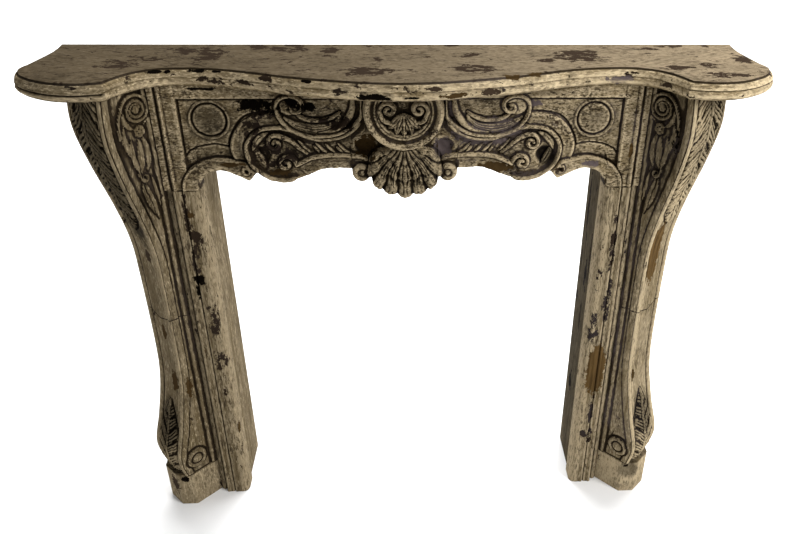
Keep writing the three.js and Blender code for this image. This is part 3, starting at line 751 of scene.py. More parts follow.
def carve_frieze(x, z, edge):
    """Heights of the carving over the right half of the frieze."""
    carving = Carving(x, z)
    carving.height = np.maximum(6 * ramp(z, 990.5, 993.5), 8 * ramp(x, 414.5, 417.5))
    carving.groove(smooth_path(PANEL_LINE), 1.4, 4.5)
    carving.groove(np.array(RAIL_LINE), 1.5, 3)
    carving.band(smooth_path(OUTER_BAND), OUTER_PROFILE)
    carving.groove(smooth_path(PANEL_CURVE), 1.8, 5)
    carving.band(smooth_path(LOWER_RIDGE), LOWER_PROFILE, 0.04)
    carving.pocket((76, 897), 19, 9, 1.15)
    carving.pocket((272, 878), 22, 9)
    carving.band(smooth_path(RIM), RIM_PROFILE, 0.03)
    for place in range(102, 192, 15):
        lean = 0.06 * (place - 102)
        reach = 18 + 7 * math.sin(place)
        carving.leaf(smooth_path([(place, 886), (place + 0.45 * reach, 890 + lean),
                                  (place + reach, 886 + 0.75 * reach + 1.6 * lean)]), 3, 5, 1)
    carving.leaf(smooth_path([(262, 850), (272, 864), (281, 882), (284, 900)]), 7, 6, 3, -6)
    carving.leaf(smooth_path([(256, 926), (270, 919), (281, 906), (286, 892)]), 7, 8, 2)
    carving.roll(scroll(STEM, (244, 904), -1.3, 4), swell(2.5, 4.2, 3.6), swell(6, 11, 11))
    carving.roll(scroll(LOWER_RIDGE[-3:], (227, 863), -1.35, 4), 4, 11.5)
    upper_scroll(carving)
    carve_arch(carving)
    carving.band(np.array(STILE_BEAD), STILE_PROFILE, 0.001)
    carving.groove(np.array(STILE_LINE), 2, 5)
    disc = np.hypot(x - DISC[0], z - DISC[1])
    carving.height += (3.2 * bell((disc - 36) / 1.6) - 4.5 * bell((disc - 31.5) / 1.9)
                       + 1.5 * ramp(32 - disc, 0, 3) - 1.6 * ramp(22 - disc, 0, 20))
    shell_and_oval(carving)
    inner = (z - edge) / 3.0
    carving.height -= 3.0 * (1 - dome(1 - np.clip(inner, 0, 1)))
    return carving.height


def upper_scroll(carving):
    """The open scroll under the shelf, with a ribbon and a veined leaf in its bowl."""
    path = smooth_path(UPPER_SCROLL)
    bowl = inside_outline(smooth_path(UPPER_SCROLL[:12] + [(190, 990), (80, 990)]),
                          carving.across, carving.up)
    carving.height = np.where(bowl, 2.0, carving.height)
    carving.pocket((93, 962), 16, 4)
    carving.leaf(smooth_path([(120, 966), (124, 948), (140, 934), (170, 929), (200, 938), (222, 956)]),
                 14, 9, 6)
    carving.roll(smooth_path([(94, 992), (96, 972), (104, 955), (116, 941), (134, 929), (160, 925)]),
                 swell(3, 7.5, 2), swell(7, 11, 6))
    carving.groove(smooth_path([(119, 968), (130, 961), (146, 957)]), 2, 5)
    carving.groove(smooth_path([(168, 953), (184, 957), (198, 966)]), 2, 5)
    carving.roll(smooth_path([(119, 966), (132, 957), (150, 951), (176, 951), (192, 957), (201, 965)]),
                 swell(2, 4, 2), swell(7, 11, 8))
    carving.boss((211, 982), [(0, 9), (14, 9.5), (20, 8)], 0)
    carving.pocket((195, 978), 7, 9)
    carving.roll(path, swell(3, 4.2, 3), swell(10, 15, 12))


def carve_arch(carving):
    """The jamb's broad band where it turns over the opening and runs out to a point."""
    outer = smooth_path(ARCH_OUTER)
    inner = smooth_path(FRIEZE_EDGE[8:])
    low = np.array([(OPENING_HALF, 800)])
    within = inside_outline(np.vstack([outer, low, inner[::-1]]), carving.across, carving.up)
    from_inner = np.abs(carving.nearest(np.vstack([inner, low]))[0])
    from_outer = np.abs(carving.nearest(outer)[0])
    width = from_inner + from_outer + 1e-6
    share, rise = np.asarray(ARCH_PROFILE, float).T
    moulding = np.interp(from_inner / width, share, rise) * np.clip(width / 30, 0, 1) ** 0.5
    carving.height -= 2.5 * bell(from_outer / 2.0) * ~within
    carving.height = np.where(within, moulding, carving.height)
    carving.roll(scroll([(288, 846), (297, 855), (307, 857)], (302, 849), -1.0, 3), 2.6, 11, 0, 2)
    carving.pocket((303, 849), 5, 6)


def shell_and_oval(carving):
    """The knob beside the shell, the shell's ribs and the round frame over it."""
    carving.boss(KNOB, [(0, 11.5), (4, 11), (6, 9), (8, 9.8), (11, 12.4), (14, 12), (17, 9.5),
                        (KNOB_RADIUS, 4)])
    run_x, run_z = carving.across - SHELL_ROOT[0], SHELL_ROOT[1] - carving.up
    turn = np.degrees(np.arctan2(np.abs(run_x), run_z))
    rough = unevenness(carving.across.shape, 2, 31)
    sway = 1.8 * unevenness(carving.across.shape, 7, 33) * ramp(np.hypot(run_x, run_z), 20, 50)
    way = np.hypot(run_x, run_z) / shell_rim(turn)
    rib = scallop(turn + sway)
    rib = rib + (scallop(turn) - rib) * ramp(way, 0.6, 0.9)
    fall = np.sqrt(np.clip(1 - 0.8 * np.clip(way, 0, 1) ** 6, 0, 1))
    rough *= ramp(way, 0.1, 0.4)
    crease = 5 * bell((rib - 0.9) / 0.07) * ramp(way, 0.25, 0.5) * (1 - 0.6 * ramp(way, 0.66, 0.8))
    tier = 2.5 * bell((way - 0.7 - 0.02 * rough) / 0.045)
    stands = 30 * (0.75 + 0.25 * np.cos(np.radians(turn)))
    ribs = fall * (stands + 15 * (rib**0.7) * way - 8) - crease - tier + 1.4 * rough
    in_shell = (turn < SHELL_SPREAD) & (way < 1)
    carving.height -= 4 * bell((way - 1.04) / 0.05) * (turn < SHELL_SPREAD + 8)
    carving.height = np.where(in_shell, np.maximum(ribs, 4), carving.height)
    carving.boss(OVAL, [(0, 22), (36, 22), (42, 25), (46, 31), (48.5, 34), (51, 32), (53.5, 35), (56.5, 32),
                        (60, 33), (63, 38), (67, 43.5), (70.5, 43), (73, 37), (75, 27)], 3)
    middle = Carving(carving.across, carving.up, -99.0)
    middle.roll(scroll([(14, 950), (36, 957), (45, 976)], (28, 979), 1.3, 4), swell(3, 5.5, 4.5),
                swell(9, 15, 14), 22, 0)
    for way_x, tip in ((0, 926), (15, 931), (29, 944)):
        middle.leaf(smooth_path([(way_x * 0.15, 970), (way_x * 0.6, 952), (way_x, tip)]), 8.5, 13, 3, 22)
    in_dish = np.hypot(carving.across, carving.up - OVAL[1]) < 48
    carving.height = np.where(in_dish, np.maximum(carving.height, middle.height), carving.height)


class MANTEL_OT_frieze(bpy.types.Operator):
    """Carves the frieze: scrolls, leaves, discs, the round frame and the shell."""

    bl_idname = "mantel.frieze"
    bl_label = "Frieze"

    def execute(self, context):
        sizes = context.scene.mantel_sizes
        colours = context.scene.mantel_colours
        x = np.linspace(0, JAMB_OUTER, sizes.frieze_columns)
        edge = frieze_lower_edge(x)
        part = np.linspace(0, 1, sizes.frieze_rows)[:, None]
        z = edge + (UNDER_SHELF - edge) * part
        half = carve_frieze(np.broadcast_to(x, z.shape), z, edge)
        height = np.hstack([half[:, :0:-1], half])
        x = np.concatenate([-x[:0:-1], x])
        z = np.hstack([z[:, :0:-1], z])
        sunk = hollows(height, 2)
        height = height + sizes.tool_marks / MM * unevenness(height.shape, 2, 21)
        height = np.minimum(height, DEEPEST_CARVING)
        front = np.stack([np.broadcast_to(x, z.shape), FACE - height, z], -1)
        back = front[[0, -1]].copy()
        back[..., 1] = BOARD_BACK
        walls = [(np.stack([back[0], front[0]]), 0.0, False), (np.stack([front[-1], back[1]]), 0.0, False),
                 (back[::-1], 0.0, False)]
        mesh = closed_piece("frieze_carved", [(front, sunk, False), *walls])
        material = old_paint("carved_frieze_paint", colours, (20, 75, 75), fade=0.94, specks=0.85,
                             chips=0.37, chip_scale=46.0, grime=0.5,
                             patches=placed(FRIEZE_MARKS, lambda x: FACE - 8, 40))
        show_piece(mesh, "frieze", material)
        return {"FINISHED"}


# Uprights: pieces with one section from bottom to top, as places in plan on the right-hand side.
JAMB_FRONT = [(396, -146), (397, -152), (399.5, -157), (404, -160.5), (411, -162), (419, -162),
              (423.5, -162.5), (426.5, -162.5), (428.4, -161), (429.6, -156.5), (431, -159.5),
              (433, -161), (440, -161.2), (444, -162.6), (447, -161.5), (449.4, -157), (451.2, -150),
              (453.5, -152.5), (458, -152.5), (463, -149)]
JAMB_QUIRKS = [(429.6, 1.3), (451.2, 1.8)]
REVEAL = [(401, -117.7), (421, -117.7), (421, 0), (401, 0)]
SIDE_BOARD = [(518, -77), (538, -77), (538, 0), (518, 0)]
CANT_LINE = 386
CORNER_OUT = 382.3
PLINTH_HEIGHT = 95
JAMB_ROWS, BOARD_ROWS, PLINTH_ROWS = 90, 60, 24
BOARD_ROUND, PLINTH_ROUND = 1.5, 2.5
PLINTH = [(431.3, -49), (501, -49), (526, -24), (526, 24), (501, 49), (431.3, 49), (CORNER_OUT, 0)]

# Marks on the jambs as places across and up and half sizes, by what shows in them.
JAMB_MARKS = {
    "black": [(-426, 610, 10, 12), (-432, 582, 4, 18)],
    "flaky": [(-416, 700, 14, 21), (-410, 505, 12.6, 37.8), (-410, 400, 14, 28),
              (-416, 314, 8.4, 11.2), (406, 607, 8.4, 14), (431, 157, 7, 28), (416, 161, 8.4, 11.2),
              (427, 690, 7, 70), (431, 540, 7, 60), (408, 470, 9, 40), (428, 230, 5, 50),
              (-428, 740, 7, 60), (-426, 650, 8, 45)],
    "brown": [(-393, 200, 9, 16), (-420, 760, 6, 8)],
    "bare": [(426, 355, 22, 72)],
}

# Marks on the return boards and the plinths as their middles and half sizes.
BOARD_MARKS = {
    "flaky": [((-401, -113, 182), (9, 8, 34)), ((-401, -104, 528), (9, 6, 20)),
              ((-401, -60, 300), (9, 12, 14)), ((401, -14, 470), (9, 8, 26)),
              ((401, -32, 402), (9, 8, 22)), ((401, -34, 690), (9, 16, 70)),
              ((401, -70, 560), (9, 12, 60)), ((401, -40, 240), (9, 14, 50))],
    # Painted shade: the two dimming patches darken the whole inner face of the right reveal, which faces
    # away from the light.
    "smoke_and_shade": [((401, -60, 520), (16, 90, 620))],
    "stain_and_shade": [((401, -60, 420), (16, 90, 620))],
    "dark": [((401, -30, 720), (9, 5, 60)), ((401, -18, 560), (9, 4, 50)),
             ((401, -60, 430), (9, 4, 40)), ((401, -88, 610), (9, 4, 70))],
}
PLINTH_MARKS = {
    "dark": [((-555, -186, 62), (13, 13, 25))],
    "black": [((-530, -196, 80), (10, 10, 8))],
    "soot_and_shade": [((529, -195, 72), (25, 25, 26))],
    "flaky": [((518, -196, 88), (14, 14, 7))],
}


def canted(out, across):
    """Places along the canted line of a right-hand leg: out from the corner, and across it."""
    total = CANT_LINE + math.sqrt(2) * across
    difference = math.sqrt(2) * out
    return (total + difference) / 2, (total - difference) / 2


def rounded_outline(places, radius):
    """A closed outline with each corner turned into a small arc."""
    places = np.asarray(places, float)
    part = np.linspace(0, 1, 4)[:, None]
    outline = []
    for before, corner, after in zip(np.roll(places, 1, 0), places, np.roll(places, -1, 0)):
        start = corner + (before - corner) / np.linalg.norm(before - corner) * radius
        end = corner + (after - corner) / np.linalg.norm(after - corner) * radius
        outline.append((1 - part) ** 2 * start + 2 * part * (1 - part) * corner + part**2 * end)
    return np.vstack(outline)


def upright_tree():
    """Geometry nodes that stand a section up: swept to its height, capped and a little uneven."""
    tree = bpy.data.node_groups.new("upright_from_section", "GeometryNodeTree")
    tree.is_modifier = True
    face = tree.interface
    inputs = {}
    for name, kind, default in (("Section", "NodeSocketObject", None), ("Height", "NodeSocketFloat", 1.0),
                                ("Rows", "NodeSocketInt", 40), ("Unevenness", "NodeSocketFloat", 0.0003),
                                ("Seed", "NodeSocketFloat", 0.0), ("Finish", "NodeSocketMaterial", None)):
        socket = face.new_socket(name, in_out="INPUT", socket_type=kind)
        inputs[name] = socket.identifier
        if default is not None:
            socket.default_value = default
    face.new_socket("Upright", in_out="OUTPUT", socket_type="NodeSocketGeometry")
    made = {}
    for name, kind, settings in (
            ("given", "NodeGroupInput", {}), ("section", "GeometryNodeObjectInfo", {}),
            ("top", "ShaderNodeCombineXYZ", {}), ("line", "GeometryNodeCurvePrimitiveLine", {}),
            ("rows", "GeometryNodeResampleCurve", {}), ("sweep", "GeometryNodeCurveToMesh", {}),
            ("joined", "GeometryNodeMergeByDistance", {}),
            ("place", "GeometryNodeInputPosition", {}), ("normal", "GeometryNodeInputNormal", {}),
            ("wander", "ShaderNodeTexNoise", {"noise_dimensions": "4D"}),
            ("centre", "ShaderNodeMath", {"operation": "SUBTRACT"}),
            ("depth", "ShaderNodeMath", {"operation": "MULTIPLY"}),
            ("push", "ShaderNodeVectorMath", {"operation": "SCALE"}),
            ("moved", "GeometryNodeSetPosition", {}), ("real", "GeometryNodeRealizeInstances", {}),
            ("paint", "GeometryNodeSetMaterial", {}), ("result", "NodeGroupOutput", {})):
        made[name] = tree.nodes.new(kind)
        for key, value in settings.items():
            setattr(made[name], key, value)
    made["sweep"].inputs["Fill Caps"].default_value = True
    made["joined"].inputs["Distance"].default_value = 1e-6
    made["wander"].inputs["Scale"].default_value = 9.0
    made["centre"].inputs[1].default_value = 0.5
    for start, out, end, into in (
            ("given", "Section", "section", "Object"), ("given", "Height", "top", "Z"),
            ("top", 0, "line", "End"), ("line", 0, "rows", "Curve"), ("given", "Rows", "rows", "Count"),
            ("rows", 0, "sweep", "Curve"), ("section", "Geometry", "sweep", "Profile Curve"),
            ("sweep", 0, "joined", 0), ("joined", 0, "moved", "Geometry"), ("place", 0, "wander", "Vector"),
            ("given", "Seed", "wander", "W"), ("wander", 0, "centre", 0), ("centre", 0, "depth", 0),
            ("given", "Unevenness", "depth", 1), ("normal", 0, "push", 0), ("depth", 0, "push", "Scale"),
            ("push", 0, "moved", "Offset"), ("moved", 0, "real", 0), ("real", 0, "paint", "Geometry"),
            ("given", "Finish", "paint", "Material"), ("paint", 0, "result", 0)):
        tree.links.new(made[start].outputs[out], made[end].inputs[into])
    return tree, inputs


def stand_up(name, outline, height, rows, uneven, seed, material):
    """One upright piece as a plain mesh, made by the geometry nodes from its outline in plan."""
    tree = bpy.data.node_groups.get("upright_from_section")
    inputs = tree["inputs"].to_dict() if tree else None
    if tree is None:
        tree, inputs = upright_tree()
        tree["inputs"] = inputs
    curve = bpy.data.curves.new(f"{name}_section", "CURVE")
    curve.dimensions = "3D"
    line = curve.splines.new("POLY")
    line.points.add(len(outline) - 1)
    for point, (x, y) in zip(line.points, outline):
        point.co = (x * MM, (y + WALL) * MM, 0, 1)
    line.use_cyclic_u = True
    section = bpy.data.objects.new(f"{name}_section", curve)
    holder = bpy.data.objects.new(f"{name}_holder", bpy.data.meshes.new(f"{name}_holder"))
    for made in (section, holder):
        bpy.context.scene.collection.objects.link(made)
    stand = holder.modifiers.new("Upright", "NODES")
    stand.node_group = tree
    for key, value in (("Section", section), ("Height", height * MM), ("Rows", rows),
                       ("Unevenness", uneven), ("Seed", seed), ("Finish", material)):
        stand[inputs[key]] = value
    graph = bpy.context.evaluated_depsgraph_get()
    mesh = bpy.data.meshes.new_from_object(holder.evaluated_get(graph))
    mesh.name = name
    for made in (section, holder):
        bpy.data.objects.remove(made)
    body = bmesh.new()
    body.from_mesh(mesh)
    for vertex in body.verts:
        vertex.co.y = min(vertex.co.y, WALL * MM)
        vertex.co.z = min(max(vertex.co.z, 0.0), height * MM)
    bmesh.ops.triangulate(body, faces=[face for face in body.faces if len(face.verts) > 4])
    bmesh.ops.recalc_face_normals(body, faces=body.faces)
    body.to_mesh(mesh)
    body.free()
    return mesh


def mark_hollows(mesh, outline, sunk, shaded_above=np.inf):
    """Gives each point of an upright the hollow of the nearest place on its outline, and painted
    shade above a given height."""
    place = np.empty(len(mesh.vertices) * 3, np.float32)
    mesh.vertices.foreach_get("co", place)
    plan = place.reshape(-1, 3)[:, :2] / MM - [0, WALL]
    gap = np.linalg.norm(plan[:, None] - np.asarray(outline)[None], axis=2)
    set_hollow(mesh, np.where(place[2::3] / MM > shaded_above, 0.2, np.asarray(sunk)[gap.argmin(1)]))


def corner_hollows(outline):
    """How far each point of an outline lies inside the line of its neighbours."""
    outline = np.asarray(outline, float)
    around = (np.roll(outline, 2, 0) + np.roll(outline, -2, 0)) / 2
    heading = np.roll(outline, -1, 0) - np.roll(outline, 1, 0)
    bend = heading[:, 0] * (around - outline)[:, 1] - heading[:, 1] * (around - outline)[:, 0]
    bend /= np.linalg.norm(heading, axis=1) + 1e-6
    area = np.sum(outline[:, 0] * np.roll(outline[:, 1], -1) - outline[:, 1] * np.roll(outline[:, 0], -1))
    return np.clip(-bend * np.sign(area) / 0.9, -1, 1)


class MANTEL_OT_jambs(bpy.types.Operator):
    """Stands up the two moulded jambs."""

    bl_idname = "mantel.jambs"
    bl_label = "Jambs"

    def execute(self, context):
        sizes = context.scene.mantel_sizes
        colours = context.scene.mantel_colours
        front = smooth_path(JAMB_FRONT, 3)
        outline = np.vstack([[(OPENING_HALF, BOARD_BACK)], front, [(JAMB_OUTER, BOARD_BACK)]])
        outline[:, 0] = np.clip(outline[:, 0], OPENING_HALF, JAMB_OUTER)
        sunk = np.minimum(corner_hollows(outline), 0)
        for quirk, width in JAMB_QUIRKS:
            sunk = sunk + bell((outline[:, 0] - quirk) / width)
        # Painted shade in the corner where the jamb meets the console.
        sunk = sunk + ramp(outline[:, 0], JAMB_OUTER - 6, JAMB_OUTER - 1)
        material = old_paint("worn_jamb_paint", colours, (150, 150, 8), fade=0.68, specks=0.7, chips=0.385,
                             chip_scale=75.0, chip_stretch=(1, 1, 0.5), dirt=0.95, grime=1.1,
                             patches=placed(JAMB_MARKS, lambda x: FACE - 10, 20))
        for side, way in SIDES.items():
            plan = outline * [way, 1]
            mesh = stand_up(f"jamb_{side}_painted", plan, JAMB_TOP, JAMB_ROWS, sizes.tool_marks, 3.0 + way,
                            material)
            mark_hollows(mesh, plan, sunk)
            show_piece(mesh, f"jamb_{side}", material, 60)
        return {"FINISHED"}


class MANTEL_OT_boards(bpy.types.Operator):
    """Stands up the plain boards that return to the wall."""

    bl_idname = "mantel.boards"
    bl_label = "Return boards"

    def execute(self, context):
        sizes = context.scene.mantel_sizes
        colours = context.scene.mantel_colours
        material = old_paint("plain_board_paint", colours, (150, 150, 5), fade=0.66, specks=0.4, chips=0.35,
                             chip_scale=24.0, chip_stretch=(1, 1, 0.4), dirt=0.8, grime=0.45,
                             patches=BOARD_MARKS)
        for side, way in SIDES.items():
            for kind, corners in (("reveal", REVEAL), ("side_board", SIDE_BOARD)):
                outline = rounded_outline(corners, BOARD_ROUND) * [way, 1]
                mesh = stand_up(f"{kind}_{side}_painted", outline, UNDER_SHELF, BOARD_ROWS,
                                sizes.tool_marks, 5.0 + way, material)
                mark_hollows(mesh, outline, np.zeros(len(outline)))
                show_piece(mesh, f"{kind}_{side}", material)
        return {"FINISHED"}


class MANTEL_OT_plinths(bpy.types.Operator):
    """Stands up the two plinth blocks under the consoles."""

    bl_idname = "mantel.plinths"
    bl_label = "Plinths"

    def execute(self, context):
        sizes = context.scene.mantel_sizes
        colours = context.scene.mantel_colours
        corners = np.stack(canted(*np.asarray(PLINTH, float).T), -1)
        material = old_paint("plinth_paint", colours, (110, 110, 12), fade=0.86, specks=0.45, chips=0.36,
                             chip_scale=28.0, chip_stretch=(1, 1, 0.6), dirt=0.8, grime=0.32,
                             patches=PLINTH_MARKS)
        for side, way in SIDES.items():
            outline = rounded_outline(corners, PLINTH_ROUND) * [way, 1]
            mesh = stand_up(f"plinth_{side}_painted", outline, PLINTH_HEIGHT, PLINTH_ROWS,
                            sizes.tool_marks, 8.0 + way, material)
            # Painted shade along the top of the plinth, under the console.
            mark_hollows(mesh, outline, corner_hollows(outline) * 0.5, PLINTH_HEIGHT - 3)
            show_piece(mesh, f"plinth_{side}", material)
        return {"FINISHED"}


# Consoles: how far the front stands out from the corner and the width across, by height, and the
# lines of the carving on their sides, as distance from the corner and height.
CONSOLE_FRONT = [(95, 509), (155, 519), (235, 499), (330, 480), (420, 474), (600, 474), (680, 477),
                 (760, 492), (860, 518), (940, 532), (1018, 527)]
CONSOLE_WIDTH = [(95, 100), (155, 107), (300, 98), (500, 98), (700, 104), (850, 122), (940, 134),
                 (1018, 130)]
CONSOLE_ROOT = 435.3
ROOT_HALF_WIDTH = 53
SPLICE_HEIGHT = 520
SPLICE_RISE = 14
SIDE_COLUMNS = 44
FRONT_COLUMNS = 81
LEAF_REACH = [(724, 0), (735, 0.3), (755, 0.52), (790, 0.66), (840, 0.7), (890, 0.76), (940, 0.78),
              (1018, 0.78)]
FOOT_REACH = [(96, 0.6), (130, 0.72), (190, 0.7), (230, 0.54), (262, 0.32), (284, 0.12), (294, 0)]

# Carving on a console's side: how deep its panel is sunk, the leaves as lines and half widths, the
# curl under the flower, the flower, the volute at the head and the eye of the foot.
SUNK_PANEL = -4.5
SIDE_LEAVES = [
    ([(470, 926), (468, 905), (470, 885), (476, 858)], 9),
    ([(461, 930), (456, 905), (456, 880), (462, 858)], 7),
    ([(494, 956), (497, 935), (493, 910), (487, 890)], 6),
    ([(484, 930), (486, 905), (484, 880), (480, 860)], 6),
    ([(474, 944), (484, 951), (491, 966), (490, 982)], 5),
    ([(454, 948), (449, 955), (446, 968), (448, 984)], 4),
    ([(472, 838), (467, 815), (461, 785), (456, 755)], 5),
    ([(478, 842), (477, 822), (471, 795), (463, 768)], 4),
    ([(458, 850), (454, 830), (451, 805), (449, 780)], 3.5),
]
CURL = [(480, 872), (481, 858), (478, 846)]
CURL_EYE = (470, 848)
FLOWER = (464, 938)
FLOWER_PROFILE = [(0, -0.5), (3, -1.2), (4.5, -3.4), (7, -1), (9.5, -1.4), (11.5, -4)]
FLOWER_PETALS = 5
VOLUTE = [(505, 935), (503, 962), (492, 989)]
VOLUTE_EYE = (464, 979)
FOOT_EYE = (482, 138)
FOOT_PROFILE = [(0, 5), (5, 4.6), (9, 3.2), (12, 0.8), (14, -2.5), (16, 0.5), (19.5, 3), (23, 2.2),
                (26, -3.5)]

# Marks on the consoles as their middles and half sizes, by what shows in them.
CONSOLE_MARKS = {
    "bare": [((518, -154, 660), (24, 24, 80))],
    "brown": [((-519, -158, 345), (11, 11, 22)), ((-487, -170, 335), (8, 8, 26)),
              ((-524, -146, 473), (8, 8, 18)), ((510, -166, 340), (8, 8, 16))],
    "dark": [((-523, -150, 666), (9, 9, 18))],
    "flaky": [((-500, -150, 570), (8, 8, 22))],
    "black": [((502, -211, 920), (9, 9, 24))],
    # The dark patches down the front of the left console are partly grime and partly painted shade on the
    # front that faces away from the light.
    "soot_and_shade": [((-570, -184, 885), (62, 52, 150)), ((-532, -160, 785), (44, 44, 90)),
             ((-549, -163, 225), (36, 36, 66)), ((549, -163, 225), (36, 36, 62)),
             # Painted shadow: this patch at the top of the right console's front is the shadow under the
             # shelf.
             ((590, -185, 1010), (46, 46, 14))],
    # This patch on the right console's inner side is partly painted shade on the side that faces away from
    # the light.
    "stain_and_shade": [((488, -190, 930), (44, 40, 110))],
    "smoke_and_shade": [((590, -170, 920), (60, 60, 130))],
}


def console_front(across, up, half, seed):
    """Carving on the front: rims, a hollow field, the hanging leaf and the leaf at the foot, with
    the strokes cut in the leaves as a field of their own."""
    part = across / half
    edge = np.abs(part)
    height = np.maximum(1.5 * (1 - part**2), 4.0 * dome((edge - 0.85) / 0.15) ** 0.7)
    height -= 4.2 * bell((edge - 0.68) / 0.05)
    cuts = np.zeros_like(height)
    warp = unevenness(up.shape, 11, seed)
    small = unevenness(up.shape, 4, seed + 1)
    for reach_line, way, tier in ((LEAF_REACH, -1, 46.0), (FOOT_REACH, 1, 34.0)):
        heights = np.asarray(reach_line, float)
        reach = np.interp(up, heights[:, 0], heights[:, 1], left=0, right=0)
        lobe = (way * up - 0.95 * np.abs(across) + 2.5 * warp) / tier
        overlap = np.mod(lobe, 1.0)
        notch = np.minimum(overlap, 1 - overlap) * tier
        within = ramp(reach * (1 - 0.22 * bell(notch / 5)) - edge, 0.0, 0.06)
        vein = np.abs(np.sin(math.pi * (4.0 * lobe + 0.012 * np.abs(across) + 0.12 * small)))
        eye = bell(np.hypot(notch, (edge - 0.62 * reach) * half) / 6.5)
        cut = ramp(0.72 - vein, 0, 0.35) * ramp(small, -1.2, -0.2)
        beside_rib = bell((np.abs(across) - 5.5) / 1.8)
        cut = np.maximum.reduce([cut, bell(notch / 3.6), eye, beside_rib])
        cut *= ramp(np.abs(across), 3.0, 5.0)
        crown = 1 - (edge / np.maximum(reach, 0.05)) ** 2
        leaf = 3.4 + 2.0 * np.clip(crown, 0, 1) + 1.4 * vein - 4.0 * cut + 2.4 * overlap + 0.4 * small
        height = height * (1 - within) + leaf * within
        height -= 2.6 * bell((reach - edge + 0.03) / 0.035) * (reach > 0.02)
        cuts = np.maximum(cuts, np.maximum(cut, 0.14 * ramp(warp, -0.6, 0.6)) * within)
    return height, cuts


def console_side(out, up, front, carved):
    """Carving on a side: a strip at the back, a rim along the front, a sunk panel between them,
    volutes at the head and the foot, and on the inner side a flower and hanging leaves."""
    length = front - CONSOLE_ROOT
    strip = np.minimum(12.5, 0.34 * length)
    rim = np.minimum(15, 0.4 * length)
    behind, ahead = out - CONSOLE_ROOT, front - out
    flat = SUNK_PANEL - SUNK_PANEL * ramp(strip - behind, 0, 2.2)
    roll = -2.5 + 3.0 * dome((ahead - rim / 2) / (rim / 2 + 0.8))
    carving = Carving(out, up, SUNK_PANEL)
    carving.height = np.maximum(carving.height, np.maximum(flat, np.where(ahead < rim, roll, -99)))
    carving.height -= 2.6 * bell((behind - strip - 2.2) / 1.7) + 2.0 * bell((ahead - rim - 1.2) / 1.5)
    if carved:
        for line, width in SIDE_LEAVES:
            carving.leaf(smooth_path(line), width, 3.6, 3, SUNK_PANEL, 1.0)
        carving.roll(scroll(CURL, CURL_EYE, -1.1, 3), 2.4, 5.5, SUNK_PANEL)
        carving.pocket((471, 849), 4.5, 5)
        carving.boss(FLOWER, FLOWER_PROFILE, 2.5)
        for turn in np.radians(18 + np.arange(FLOWER_PETALS) * 360 / FLOWER_PETALS):
            spoke = np.array([np.cos(turn), np.sin(turn)])
            carving.groove(np.array([spoke * 5, spoke * 12]) + FLOWER, 1.4, 2.4)
    carving.roll(scroll(VOLUTE, VOLUTE_EYE, 2.4, 9.5), swell(3.2, 3.1, 2.3), 5.2, SUNK_PANEL, 2.0)
    carving.boss(VOLUTE_EYE, [(0, 1), (5, 0.5), (7.5, -1.5)], 1.5)
    carving.boss(FOOT_EYE, FOOT_PROFILE, 3)
    return carving.height


